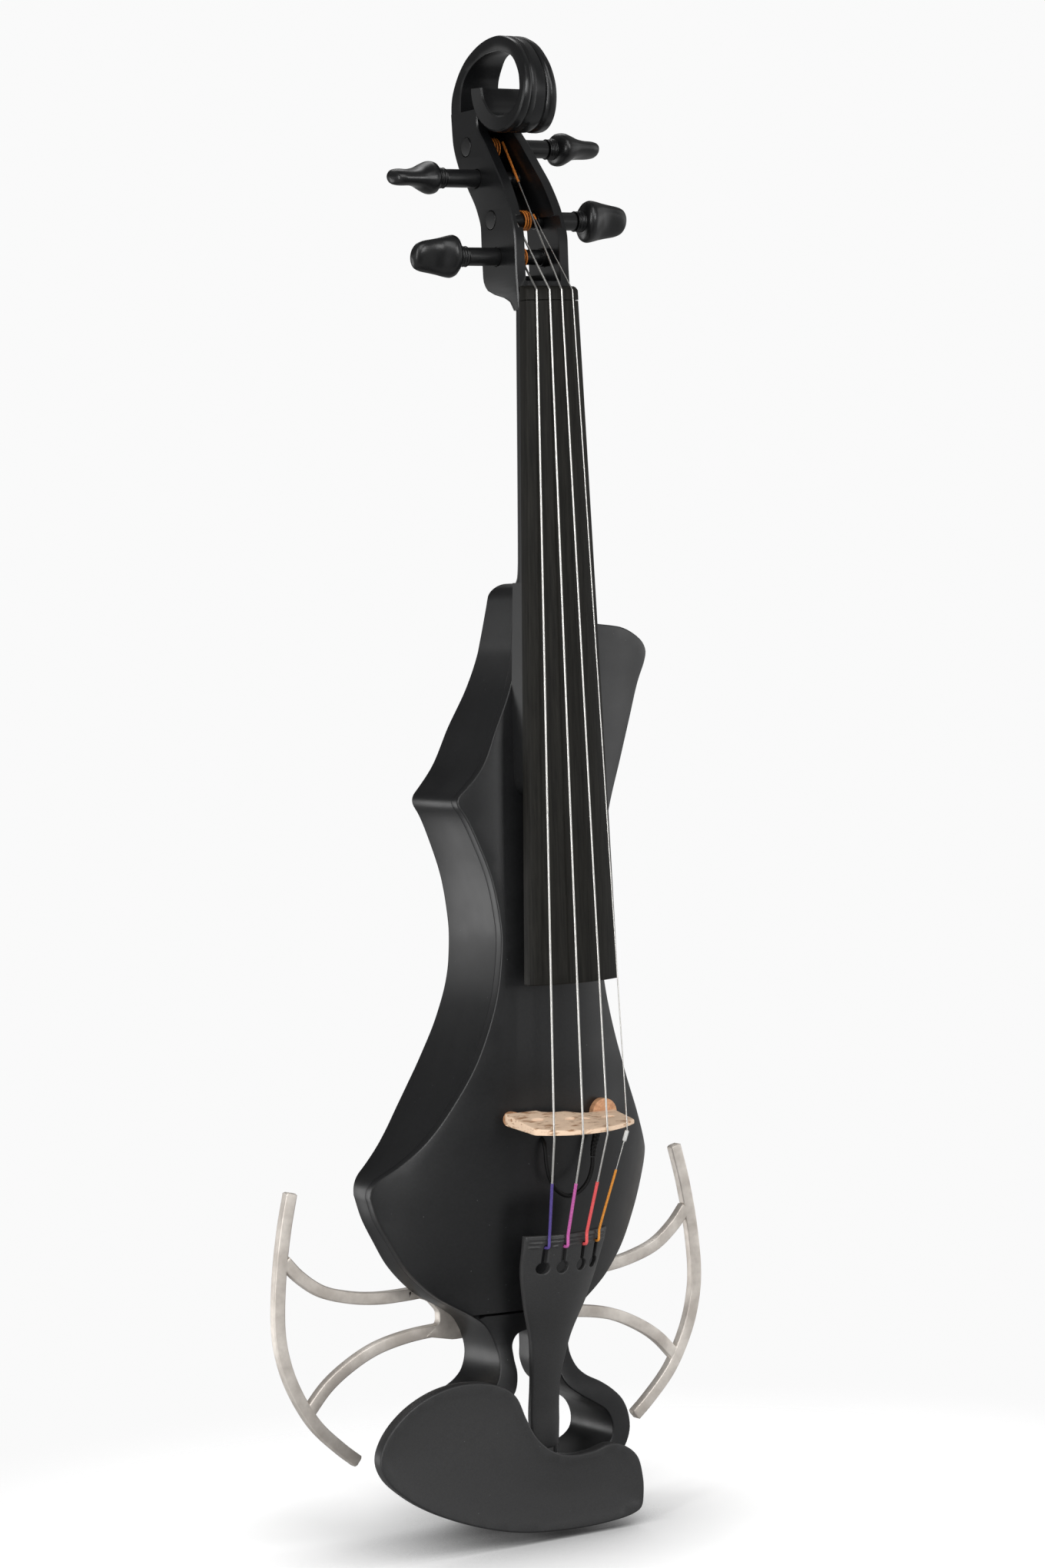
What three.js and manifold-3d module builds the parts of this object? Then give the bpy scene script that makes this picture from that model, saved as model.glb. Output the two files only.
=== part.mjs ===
import * as THREE from 'three'
import { mergeVertices } from 'three/addons/utils/BufferGeometryUtils.js'
import Module from 'manifold-3d'

const wasm = await Module()
wasm.setup()

// An electric violin, in millimetres. The nut is at z = 0 and the strings run down to -z.
// The front faces -y, the treble side is +x, and y = 0 is the glued face of the fingerboard at the nut.

// Strings
const stringLength = 328
const nutSpread = 16.5
const bridgeSpread = 34
const nutAction = 0.7
const bridgeAction = 5.5
const afterLength = 42
const stringRadius = { g: 0.42, d: 0.42, a: 0.38, e: 0.24 }
const silkRadius = { g: 0.6, d: 0.65, a: 0.65, e: 0.5 }
const silkStart = { g: 20, d: 21, a: 21.5, e: 17.5 }
const ballRadius = 1.8
const tubeRadius = 0.85
const tubeLength = 5.5

// Fit between pieces
const clearance = 0.3
const overrun = 5

// Neck and fingerboard
const nutWidth = 24
const nutThickness = 4
const nutCrest = 1.8
const fingerboardRoom = 58
const fingerboardLength = stringLength - fingerboardRoom
const fingerboardEndWidth = 41
const fingerboardRadius = 42
const fingerboardEdge = 5
const neckInset = 0.3
const neckShoulder = 0.5
const neckDepth = 13
const tongueWidth = 30
const tongueLength = 84

// Head
const pegboxHeight = 74
const pegboxDepth = 51
const pegboxWidth = 24.6
const pegboxWall = 4.3
const pegboxCorner = 1.8
const scrollRadius = 22
const scrollWidth = 24
const scrollForward = 17.75
const scrollHeight = 81
const grooveDepth = 0.8

// Pegs
const pegRadius = 3.6
const drumRadius = 3
const spindleRadius = 1.3
const spindleLength = 6
const pegReach = 26.3
const collarLength = 4
const collarRadius = 4.6
const headLength = 20.6
const headWidth = 17
const headThickness = 13
const windingRadius = 0.35
const windingPitch = 1.15
const windingSteps = 16

// Body
const bodyTop = 113
const bodyLength = 363
const bodyEnd = bodyTop + bodyLength
const bodyHalf = 65
const bodyDepth = 60
const archRadius = 82
const plateThickness = 4
const ribCorner = 2.5

// Space in the back for the electronics
const coverThickness = 4
const coverLeft = 40
const coverRight = 42
const coverRise = 151.5
const coverTop = bodyEnd - coverRise
const coverHeight = 61
const coverRim = 4
const coverScrewRadius = 1.4
const coverScrewHead = 2.6
const coverScrewLength = 10
const batteryWidth = 48.5
const batteryHeight = 26.5
const batteryDepth = 17.5
const batteryPlay = 1
const hingePinRadius = 0.8
const hingePinReach = 3
const boardThickness = 1.6
const boardHeight = 16
const potRadius = 7
const potDepth = 8.5
const knobRadius = 6.2
const knobHeight = 7
const knobStem = 3
const knobSpacing = 26
const jackRadius = 5.5
const jackBore = 3.2
const jackLength = 33
const jackFlange = 7
const jackFlangeThickness = 2
const jackInset = 7
const jackRise = 4

// Bridge and pickup
const bridgeHalf = 23
const bridgeFootHalf = 25.5
const bridgeArchHalf = 11
const bridgeArchRise = 4
const bridgeFootThickness = 6
const bridgeCrownThickness = 3
const bridgeLean = 5.2
const discRadius = 5.2
const discThickness = 3.2
const discSpacing = 37
const discRise = 2.8
const cableRadius = 0.9
const bootRadius = 1.8

// Tailpiece
const tailpieceRise = 16
const tailpieceEnd = bodyEnd - tailpieceRise
const tailpieceHalf = 19
const tailpieceDepth = 38
const tailpieceThickness = 3.4
const keyholeRadius = 2.1
const slotWidth = 1.9
const slotLength = 9.5
const slotInset = 4
const tailCordRadius = 1
const tailCordSpacing = 8.6
const buttonPinRadius = 3
const buttonHeadRadius = 6.5
const buttonHeadLength = 6

// Chin rest
const chinWidth = 121
const chinHeight = 64.8
const chinRise = 51.4
const chinTop = bodyEnd - chinRise
const chinFront = 13
const chinThickness = 6.4
const chinPostWidth = 12
const chinPostHeight = 5.5
const chinBarrelRadius = 2.4
const chinStudRadius = 1.3
const chinBarrelSpacing = 30
const chinBarrelDrop = 5
const chinFootThickness = 3
const chinFootWidth = 40
const chinFootHeight = 16.5

// Arms
const armHalf = 102
const armRise = 125
const armTop = bodyEnd - armRise
const armHeight = 112
const armThickness = 4
const armBar = 5
const armScrewRadius = 1.6
const armScrewHead = 3.2
const armScrewHeadHeight = 1.8
const armScrewLength = 16

// Finishes
const black = new THREE.MeshStandardMaterial({ color: 0x2c2c2d, roughness: 0.5, metalness: 0 })
const blackPlastic = new THREE.MeshStandardMaterial({ color: 0x202021, roughness: 0.45, metalness: 0 })
const ebony = new THREE.MeshStandardMaterial({ color: 0x302f2b, roughness: 0.6, metalness: 0 })
const aluminium = new THREE.MeshStandardMaterial({ color: 0xb9afa5, roughness: 0.45, metalness: 0.8 })
const steel = new THREE.MeshStandardMaterial({ color: 0xc9c6c0, roughness: 0.3, metalness: 0.9 })
const maple = new THREE.MeshStandardMaterial({ color: 0xdeb896, roughness: 0.65, metalness: 0 })
const discWood = new THREE.MeshStandardMaterial({ color: 0xcd966e, roughness: 0.6, metalness: 0 })
const rubber = new THREE.MeshStandardMaterial({ color: 0x161616, roughness: 0.7, metalness: 0 })
const clearPlastic = new THREE.MeshStandardMaterial({ color: 0xe6e4df, roughness: 0.3, metalness: 0 })
const boardGreen = new THREE.MeshStandardMaterial({ color: 0x2d5a3a, roughness: 0.6, metalness: 0 })
const silkOrange = new THREE.MeshStandardMaterial({ color: 0xc56d2d, roughness: 0.7, metalness: 0 })
const cellGrey = new THREE.MeshStandardMaterial({ color: 0x8a8b8c, roughness: 0.4, metalness: 0.3 })

const violin = new THREE.Group()
const at = (x, y, z) => new THREE.Vector3(x, y, z)

// A closed surface as a solid, with its faces turned outwards
function toSolid(geometry) {
  const bare = geometry.clone()
  bare.deleteAttribute('normal')
  bare.deleteAttribute('uv')
  const merged = mergeVertices(bare)
  const points = merged.attributes.position.array
  const index = merged.index.array
  const corner = i => at(points[3 * i], points[3 * i + 1], points[3 * i + 2])
  const faces = []
  let volume = 0
  for (let i = 0; i < index.length; i += 3) {
    const [a, b, c] = [index[i], index[i + 1], index[i + 2]]
    if (a === b || b === c || c === a) continue
    faces.push(a, b, c)
    volume += corner(a).dot(corner(b).cross(corner(c)))
  }
  if (volume < 0) faces.reverse()
  const mesh = { numProp: 3, vertProperties: new Float32Array(points), triVerts: new Uint32Array(faces) }
  return new wasm.Manifold(new wasm.Mesh(mesh))
}

// One named piece of the violin
function add(name, solid, material) {
  const { vertProperties, triVerts } = solid.getMesh()
  const geometry = new THREE.BufferGeometry()
  geometry.setAttribute('position', new THREE.BufferAttribute(vertProperties, 3))
  geometry.setIndex(new THREE.BufferAttribute(triVerts, 1))
  geometry.computeVertexNormals()
  const mesh = new THREE.Mesh(geometry, material)
  mesh.name = name
  violin.add(mesh)
}

function fromFaces(points, faces) {
  const geometry = new THREE.BufferGeometry()
  geometry.setFromPoints(points)
  geometry.setIndex(faces.flat())
  return toSolid(geometry)
}

// The walls between rings of equally many points, split along the other diagonal from a given point on
function ringWalls(count, rings, turnFrom) {
  const faces = []
  for (let r = 0; r < rings - 1; r++) {
    for (let i = 0; i < count; i++) {
      const a = r * count + i
      const b = r * count + (i + 1) % count
      if (i < turnFrom) faces.push([a, b, a + count], [b, b + count, a + count])
      else faces.push([a, b, b + count], [a, b + count, a + count])
    }
  }
  return faces
}

// A skin through sections, each of a front row and a back row of equally many points
function loft(sections) {
  const width = sections[0].front.length
  const count = 2 * width
  const rings = sections.map(section => [...section.front, ...section.back.toReversed()])
  const faces = ringWalls(count, rings.length, width)
  const last = (rings.length - 1) * count
  for (let i = 0; i < width - 1; i++) {
    const [a, b, c, d] = [i, i + 1, count - 2 - i, count - 1 - i]
    faces.push([a, c, b], [a, d, c], [last + a, last + b, last + c], [last + a, last + c, last + d])
  }
  return fromFaces(rings.flat(), faces)
}

// A skin through closed rings, with the middle of each end ring as a point
function skin(rings) {
  const count = rings[0].length
  const middle = ring => ring.reduce((sum, point) => sum.clone().add(point)).divideScalar(count)
  const points = [...rings.flat(), middle(rings[0]), middle(rings.at(-1))]
  const faces = ringWalls(count, rings.length, count)
  const last = (rings.length - 1) * count
  for (let i = 0; i < count; i++) {
    const next = (i + 1) % count
    faces.push([next, i, last + count], [last + i, last + next, last + count + 1])
  }
  return fromFaces(points, faces)
}

// A round bar that follows points, with a radius for each point
function tube(points, radii, sides) {
  const radiusOf = i => Array.isArray(radii) ? radii[i] : radii
  const tangents = points.map((point, i) => {
    const before = points[Math.max(i - 1, 0)]
    const after = points[Math.min(i + 1, points.length - 1)]
    return after.clone().sub(before).normalize()
  })
  let across = at(1, 0, 0).cross(tangents[0])
  if (across.length() < 0.5) across = at(0, 1, 0).cross(tangents[0])
  const rings = points.map((point, i) => {
    across = across.clone().addScaledVector(tangents[i], -across.dot(tangents[i])).normalize()
    const up = tangents[i].clone().cross(across)
    return Array.from({ length: sides }, (_, k) => {
      const angle = 2 * Math.PI * k / sides
      const offset = across.clone().multiplyScalar(Math.cos(angle)).addScaledVector(up, Math.sin(angle))
      return point.clone().addScaledVector(offset, radiusOf(i))
    })
  })
  return skin(rings)
}

// Where a flat shape's own axes and its thickness point
const along = {
  x: new THREE.Matrix4().makeBasis(at(0, 1, 0), at(0, 0, 1), at(1, 0, 0)),
  y: new THREE.Matrix4().makeBasis(at(1, 0, 0), at(0, 0, 1), at(0, 1, 0)),
  z: new THREE.Matrix4()
}

// A flat outline thickened along an axis, its points being the two other coordinates in order
function prism(axis, outline, from, to) {
  const shape = new THREE.Shape(outline.map(([a, b]) => new THREE.Vector2(a, b)))
  const depth = to - from
  const geometry = new THREE.ExtrudeGeometry(shape, { depth, bevelEnabled: false })
  geometry.translate(0, 0, from)
  return toSolid(geometry.applyMatrix4(along[axis]))
}

const rectangle = (a0, a1, b0, b1) => [[a0, b0], [a1, b0], [a1, b1], [a0, b1]]

function block(x0, x1, y0, y1, z0, z1) {
  return prism('z', rectangle(x0, x1, y0, y1), z0, z1)
}

// A solid of revolution about an axis through a point, from pairs of radius and place on the axis
function turned(axis, profile, centre, sides, side = 1) {
  const geometry = new THREE.LatheGeometry(profile.map(([r, h]) => new THREE.Vector2(r, h)), sides)
  if (axis === 'x') geometry.rotateZ(-side * Math.PI / 2)
  if (axis === 'z') geometry.rotateX(Math.PI / 2)
  return toSolid(geometry.translate(centre.x, centre.y, centre.z))
}

function rod(axis, radius, from, to, centre, sides = 16) {
  return turned(axis, [[0, from], [radius, from], [radius, to], [0, to]], centre, sides)
}

// A smooth line through points, for curved outlines and cables
function smooth(points, steps, closed = false) {
  const curve = new THREE.CatmullRomCurve3(points.map(p => at(...p)), closed)
  const line = curve.getPoints(steps)
  return closed ? line.slice(0, -1) : line
}

// The value of a table of pairs at a place between its rows
function lookUp(table, place) {
  const after = table.findIndex(row => row[0] >= place)
  if (after < 0) return table.at(-1)[1]
  if (after === 0) return table[0][1]
  const [a, b] = [table[after - 1], table[after]]
  return THREE.MathUtils.mapLinear(place, a[0], b[0], a[1], b[1])
}

// The rise of an arc over its chord at a distance from its middle
const sagitta = (radius, x) => radius - Math.sqrt(radius * radius - x * x)

// Fingerboard

const nutCrestShares = [[0, 0], [0.55, 0.7], [1, 1.6]]
const crown = -fingerboardEdge - sagitta(fingerboardRadius, nutWidth / 2)

function boardHalf(z) {
  return THREE.MathUtils.mapLinear(-z, 0, fingerboardLength, nutWidth, fingerboardEndWidth) / 2
}

function boardUnder(z) {
  const endSag = sagitta(fingerboardRadius, fingerboardEndWidth / 2)
  const nutSag = sagitta(fingerboardRadius, nutWidth / 2)
  return crown + fingerboardEdge + THREE.MathUtils.mapLinear(-z, 0, fingerboardLength, nutSag, endSag)
}

// A section across the board: the arched top in front and the glued face behind
function boardSection(z) {
  const shares = [-1, -0.75, -0.5, -0.25, 0, 0.25, 0.5, 0.75, 1]
  const half = boardHalf(z)
  return {
    front: shares.map(s => at(s * half, crown + sagitta(fingerboardRadius, s * half), z)),
    back: shares.map(s => at(s * half, boardUnder(z), z))
  }
}

function fingerboard() {
  const shares = [0, 0.25, 0.5, 0.75, 1]
  const start = -nutThickness
  return loft(shares.map(s => boardSection(THREE.MathUtils.lerp(start, -fingerboardLength, s))))
}

// The nut's crest leans back above the line where the strings bend
function nut() {
  const crest = nutCrestShares.map(([height, lean]) => {
    const section = boardSection(height * nutCrest)
    section.front.forEach(point => point.setY(point.y + lean * nutCrest))
    return section
  })
  return loft([boardSection(clearance - nutThickness), ...crest])
}

// Body

const bodyZ = share => -bodyTop - share * bodyLength
const bodyShare = z => (-z - bodyTop) / bodyLength

// Half widths of the bass and treble sides down to the lower corner, and of both sides below it
const bassShares = [[0, 0.162], [0.011, 0.177], [0.025, 0.185], [0.061, 0.197], [0.077, 0.203], [0.113, 0.243],
  [0.157, 0.338], [0.196, 0.425], [0.22, 0.531], [0.232, 0.6], [0.248, 0.538], [0.281, 0.462], [0.32, 0.394],
  [0.364, 0.358], [0.386, 0.354], [0.435, 0.382], [0.468, 0.423], [0.515, 0.512], [0.559, 0.631], [0.606, 0.792],
  [0.631, 0.908], [0.647, 1]]
const trebleShares = [[0, 0.162], [0.025, 0.192], [0.041, 0.262], [0.047, 0.385], [0.05, 0.523], [0.053, 0.631],
  [0.062, 0.769], [0.072, 0.866], [0.081, 0.902], [0.091, 0.892], [0.113, 0.82], [0.157, 0.715], [0.196, 0.623],
  [0.256, 0.485], [0.32, 0.403], [0.364, 0.366], [0.386, 0.354], [0.435, 0.382], [0.468, 0.423], [0.515, 0.512],
  [0.559, 0.631], [0.606, 0.792], [0.631, 0.908], [0.647, 1]]
const lowerShares = [[0.664, 1], [0.691, 0.954], [0.719, 0.877], [0.744, 0.8], [0.763, 0.715], [0.78, 0.615],
  [0.791, 0.523], [0.803, 0.415], [0.815, 0.331], [0.835, 0.274], [0.854, 0.255], [0.873, 0.285], [0.883, 0.338],
  [0.893, 0.438], [0.904, 0.523], [0.917, 0.592], [0.934, 0.631], [0.953, 0.635], [0.972, 0.585], [0.986, 0.477],
  [0.994, 0.338], [1, 0.123]]

// How far the front and back lie from the glued face, and how much of the arch the front has
const frontShares = [[0, 0.133], [0.077, 0.175], [0.129, 0.2], [0.231, 0.208], [0.386, 0.192], [0.515, 0.217],
  [0.559, 0.242], [0.592, 0.26], [0.647, 0.333], [0.697, 0.433], [0.744, 0.533], [0.78, 0.608], [0.803, 0.642],
  [0.835, 0.688], [0.854, 0.665], [0.904, 0.588], [1, 0.588]]
const backShares = [[0, 0.517], [0.011, 0.577], [0.025, 0.6], [0.077, 0.708], [0.118, 0.808], [0.163, 0.9],
  [0.212, 0.95], [0.41, 0.95], [0.474, 1.017], [0.518, 1.092], [0.559, 1.14], [0.58, 1.15], [1, 1.15]]
const archShares = [[0, 0.6], [0.1, 0.7], [0.196, 0.82], [0.256, 0.9], [0.35, 1], [0.803, 1], [0.835, 0]]
const plateEndShare = 0.804
const tongueEndShares = [[0, 1], [0.9, 1], [0.965, 0.93], [1, 0.72]]

// The opening of the tail ring, as half widths of the body and places along it
const ringOpeningShares = [[0.092, 0.828], [0.142, 0.839], [0.148, 0.854], [0.145, 0.871], [0.185, 0.89],
  [0.277, 0.904], [0.377, 0.915], [0.469, 0.927], [0.508, 0.944], [0.492, 0.959], [0.4, 0.97], [0.215, 0.975]]

const bodyBack = z => bodyDepth * lookUp(backShares, bodyShare(z))

function bodyFront(x, z) {
  const share = bodyShare(z)
  return bodyDepth * lookUp(frontShares, share) + lookUp(archShares, share) * sagitta(archRadius, x)
}

function bodySides(z) {
  const share = bodyShare(z)
  const below = share >= lowerShares[0][0]
  const bass = lookUp(below ? lowerShares : bassShares, share)
  const treble = lookUp(below ? lowerShares : trebleShares, share)
  return [-bass * bodyHalf, treble * bodyHalf]
}

// Rows from the bass edge to the treble edge, the outer shares being a rounded corner's
function acrossBody(z) {
  const [left, right] = bodySides(z)
  const corner = Math.min(ribCorner, (right - left) / 4)
  const inner = [0, 0.25, 0.5, 0.75, 1].map(s => THREE.MathUtils.lerp(left + corner, right - corner, s))
  return [left, left + 0.3 * corner, ...inner, right - 0.3 * corner, right]
}

function bodyStations(from, to) {
  const shares = [...bassShares, ...trebleShares, ...lowerShares].map(row => row[0])
  const between = [...new Set(shares)].filter(share => share > from && share < to)
  return [from, ...between.sort((a, b) => a - b), to].map(bodyZ)
}

// The front of the body between two depths behind its face
function frontLayer(from, to, near, far) {
  return loft(bodyStations(from, to).map(z => ({
    front: acrossBody(z).map(x => at(x, bodyFront(x, z) + near, z)),
    back: acrossBody(z).map(x => at(x, bodyFront(x, z) + far, z))
  })))
}

// Ribs and block of the body from the heel to the end of the tail ring
function ribs() {
  const roundings = [1, 0.3, 0, 0, 0, 0, 0, 0.3, 1]
  const section = (z, depth) => ({
    front: acrossBody(z).map(x => at(x, bodyFront(x, z) + depth, z)),
    back: acrossBody(z).map((x, i) => at(x, bodyBack(z) - roundings[i] * ribCorner, z))
  })
  const stepZ = bodyZ(plateEndShare) - clearance
  const upper = bodyStations(0, plateEndShare).map(z => section(z, plateThickness + clearance))
  upper.push(section(stepZ + clearance / 2, plateThickness + clearance))
  const lower = bodyStations(bodyShare(stepZ), 1).map(z => section(z, 0))
  return loft([...upper, ...lower])
}

function ringOpening() {
  const right = ringOpeningShares.map(([x, z]) => [x * bodyHalf, bodyZ(z)])
  const left = right.map(([x, z]) => [-x, z]).reverse()
  return prism('y', [...right, ...left], -overrun, bodyBack(bodyZ(1)) + overrun)
}

// A shallow recess between the end of the front plate and the opening of the ring
function stemRecess() {
  const half = ringOpeningShares[2][0] * bodyHalf
  const top = bodyZ(plateEndShare) - clearance
  const bottom = bodyZ(ringOpeningShares[2][1])
  const floor = bodyFront(0, top) + plateThickness
  return block(-half, half, -overrun, floor, bottom, top + overrun)
}

// Electronics in the back

const backY = bodyBack(bodyZ(1))
const coverInner = backY - coverThickness
const pocketTop = -coverTop - coverRim
const pocketBottom = -coverTop - coverHeight + coverRim + coverScrewHead
const pocketFloor = coverInner - batteryDepth - batteryPlay
const batteryTop = pocketBottom + batteryPlay + batteryHeight
const batteryLeft = -coverLeft + coverRim + 2 * hingePinReach
const hingeY = backY - coverThickness / 2
const hingeZ = batteryTop + coverThickness / 2
const doorLeft = batteryLeft - batteryPlay
const doorRight = batteryLeft + batteryWidth + batteryPlay
const doorBottom = pocketBottom + batteryPlay
const boardTop = pocketTop - batteryPlay
const potZ = boardTop - boardHeight / 2
const potY = coverInner - clearance - potDepth
const potPlaces = { volume: -knobSpacing / 2, tone: knobSpacing / 2 }
const coverScrewPlaces = [[-coverLeft, -coverTop], [coverRight, -coverTop],
  [-coverLeft, -coverTop - coverHeight], [coverRight, -coverTop - coverHeight]].map(([x, z], i) => {
  const inset = coverRim / 2 + coverScrewHead / 2
  return [x + (i % 2 ? -inset : inset), z + (i < 2 ? -inset : inset)]
})
const jackZ = pocketTop + jackRadius
const jackY = pocketFloor + jackRise
const jackFace = bodySides(jackZ)[1] - jackInset

function backPocket() {
  const left = -coverLeft + coverRim
  const right = coverRight - coverRim
  const gap = clearance
  const ledge = block(-coverLeft - gap, coverRight + gap, coverInner - gap, backY + overrun,
    -coverTop - coverHeight - gap, -coverTop + gap)
  const well = block(left, right, pocketFloor, backY, pocketBottom, pocketTop)
  const corners = coverScrewPlaces.map(([x, z]) => [
    rod('y', coverScrewHead + coverRim / 2, pocketFloor - overrun, backY, at(x, 0, z), 12),
    rod('y', coverScrewRadius + clearance, backY - coverScrewLength - gap, backY, at(x, 0, z), 10)
  ])
  const kept = corners.reduce((solid, [boss]) => solid.subtract(boss), well)
  return corners.reduce((solid, [, hole]) => solid.add(hole), kept.add(ledge))
}

function jackHole() {
  const centre = at(0, jackY, jackZ)
  const inner = jackFace + jackFlangeThickness - jackLength - clearance
  const hole = rod('x', jackRadius + clearance, inner, bodyHalf, centre, 20)
  return hole.add(rod('x', jackFlange + clearance, jackFace - clearance, bodyHalf + overrun, centre, 20))
}

function cableHole() {
  const entry = at(cableEntry.x, 0, cableEntry.z)
  return rod('y', cableRadius + clearance, -overrun, pocketFloor + overrun, entry, 10)
}

function buttonHole() {
  return rod('z', buttonPinRadius + clearance, -overrun, 2 * overrun, at(0, buttonY, bodyZ(1)), 16)
}

function backCover() {
  const gap = clearance
  const bottom = -coverTop - coverHeight
  let cover = block(-coverLeft, coverRight, coverInner, backY, bottom, -coverTop)
  const doorway = block(doorLeft - gap, doorRight + gap, coverInner - gap, backY + gap,
    doorBottom - gap, hingeZ + coverThickness / 2 + gap)
  cover = cover.subtract(doorway)
  const pinHole = rod('x', hingePinRadius + gap, doorLeft - hingePinReach - gap,
    doorRight + hingePinReach + gap, at(0, hingeY, hingeZ), 12)
  cover = cover.subtract(pinHole)
  for (const x of Object.values(potPlaces)) {
    cover = cover.subtract(rod('y', knobStem + gap, coverInner - gap, backY + gap, at(x, 0, potZ), 16))
  }
  for (const [x, z] of coverScrewPlaces) {
    cover = cover.subtract(rod('y', coverScrewRadius + gap, coverInner - gap, backY + gap, at(x, 0, z), 12))
    const sink = backY - coverThickness / 2
    cover = cover.subtract(rod('y', coverScrewHead + gap, sink, backY + gap, at(x, 0, z), 12))
  }
  return cover
}

function batteryDoor() {
  const panel = block(doorLeft, doorRight, coverInner, backY, doorBottom, hingeZ)
  const knuckle = rod('x', coverThickness / 2, doorLeft, doorRight, at(0, hingeY, hingeZ), 24)
  const bore = rod('x', hingePinRadius + clearance, doorLeft - overrun, doorRight + overrun,
    at(0, hingeY, hingeZ), 12)
  const notch = rod('x', coverThickness / 2, -coverThickness, coverThickness,
    at((doorLeft + doorRight) / 2, backY, doorBottom), 16)
  return panel.add(knuckle).subtract(bore).subtract(notch)
}

function screw(axis, place, shank, head, headHeight, length, from, turn) {
  const profile = [[0, from - turn * length], [shank, from - turn * length], [shank, from - turn * headHeight],
    [head, from - turn * headHeight], [head, from], [0, from]]
  return turned(axis, profile, place, 8)
}

function electronics() {
  add('back_cover', backCover(), blackPlastic)
  add('battery_door', batteryDoor(), blackPlastic)
  add('battery_door_pin', rod('x', hingePinRadius, doorLeft - hingePinReach, doorRight + hingePinReach,
    at(0, hingeY, hingeZ), 10), steel)
  add('battery', block(batteryLeft, batteryLeft + batteryWidth, pocketFloor + clearance,
    pocketFloor + batteryDepth, batteryTop - batteryHeight, batteryTop), cellGrey)
  const halfBoard = coverLeft - 2 * coverRim - coverScrewHead
  const cornerRoom = coverScrewHead + coverRim
  add('circuit_board', block(-halfBoard + cornerRoom, halfBoard - cornerRoom, potY - boardThickness, potY,
    boardTop - boardHeight, boardTop), boardGreen)
  coverScrewPlaces.forEach(([x, z], i) => {
    const solid = screw('y', at(x, 0, z), coverScrewRadius, coverScrewHead, coverThickness / 2 - clearance,
      coverScrewLength, backY, 1)
    add(`back_cover_screw_${i + 1}`, solid, steel)
  })
  for (const [name, x] of Object.entries(potPlaces)) {
    const place = at(x, 0, potZ)
    const bore = spindleRadius + clearance
    const potTop = coverInner - clearance
    const potFloor = potY + clearance
    add(`${name}_pot`, turned('y', [[bore, potFloor], [potRadius, potFloor], [potRadius, potTop],
      [bore, potTop], [bore, potFloor]], place, 16), aluminium)
    const under = backY + clearance
    const knob = turned('y', [[0, potTop - spindleLength], [spindleRadius, potTop - spindleLength],
      [spindleRadius, coverInner + clearance], [knobStem, coverInner + clearance], [knobStem, under],
      [knobRadius, under], [knobRadius, under + 0.85 * knobHeight], [0.85 * knobRadius, under + knobHeight],
      [0, under + knobHeight]], place, 14)
    add(`${name}_knob`, knob, blackPlastic)
  }
  const jackCentre = at(0, jackY, jackZ)
  const inner = jackFace + jackFlangeThickness - jackLength
  const rim = jackFace + jackFlangeThickness
  add('output_jack', turned('x', [[0, inner], [jackRadius, inner], [jackRadius, jackFace],
    [jackFlange, jackFace], [jackFlange, rim], [jackBore, rim],
    [jackBore, inner + jackRadius], [0, inner + jackRadius]], jackCentre, 20), steel)
}

// Neck, pegbox and scroll

const neckRoundness = 1.2
const neckDepthShares = [[0, 0.86], [0.09, 0.88], [0.93, 1], [0.965, 1.03], [0.985, 1.18], [1, 1.45]]
const pegboxFrontShares = [[-0.095, 0.012], [0, 0.016], [0.122, 0.025], [0.27, 0.023], [0.405, 0.072],
  [0.568, 0.196], [0.689, 0.33], [0.811, 0.471], [0.904, 0.578], [0.946, 0.584], [1, 0.608]]
const pegboxBackShares = [[-0.095, 0.2], [-0.05, 0.216], [-0.024, 0.275], [0, 0.395], [0.03, 0.486],
  [0.095, 0.537], [0.2, 0.54], [0.351, 0.545], [0.459, 0.605], [0.581, 0.735], [0.703, 0.876],
  [0.851, 0.971], [1, 1]]
const pegboxHalfShares = [[-0.095, 0.967], [0, 1], [0.27, 1], [0.405, 0.976], [0.568, 0.935], [0.689, 0.894],
  [0.892, 0.821], [1, 0.789]]
const slotShares = [0.055, 0.122, 0.27, 0.405, 0.568, 0.689, 0.811, 0.885]
const backSlotShares = [0.108, 0.405]

// The scroll's band, by degrees round its centre: outer radius, inner radius and half width
const scrollOuterShares = [[-30, 1.591], [-16, 1.545], [-3, 1.491], [12, 1.377], [25, 1.286], [42, 1.168],
  [60, 1.055], [80, 0.955], [97, 0.9], [115, 0.877], [140, 0.877], [164, 0.909], [183, 0.936], [213, 0.955],
  [228, 0.936], [243, 0.891], [258, 0.836], [275, 0.782], [297, 0.723], [330, 0.677], [364, 0.65]]
const scrollInnerShares = [[-30, 1.227], [-16, 1.195], [-7, 1.159], [10, 1.114], [27, 0.995], [46, 0.859],
  [72, 0.7], [105, 0.618], [146, 0.636], [174, 0.7], [195, 0.755], [218, 0.718], [244, 0.591], [275, 0.436],
  [305, 0.318], [353, 0.264], [364, 0.264]]
const scrollHalfShares = [[-30, 0.817], [-7, 0.775], [10, 0.717], [27, 0.633], [46, 0.5], [72, 0.408],
  [97, 0.417], [115, 0.43], [140, 0.485], [164, 0.55], [183, 0.62], [213, 0.715], [243, 0.815], [275, 0.875],
  [330, 0.91], [364, 0.93]]

const pegboxFront = z => pegboxDepth * lookUp(pegboxFrontShares, z / pegboxHeight)
const pegboxBack = z => pegboxDepth * lookUp(pegboxBackShares, z / pegboxHeight)
const pegboxHalf = z => pegboxWidth / 2 * lookUp(pegboxHalfShares, z / pegboxHeight)

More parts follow.
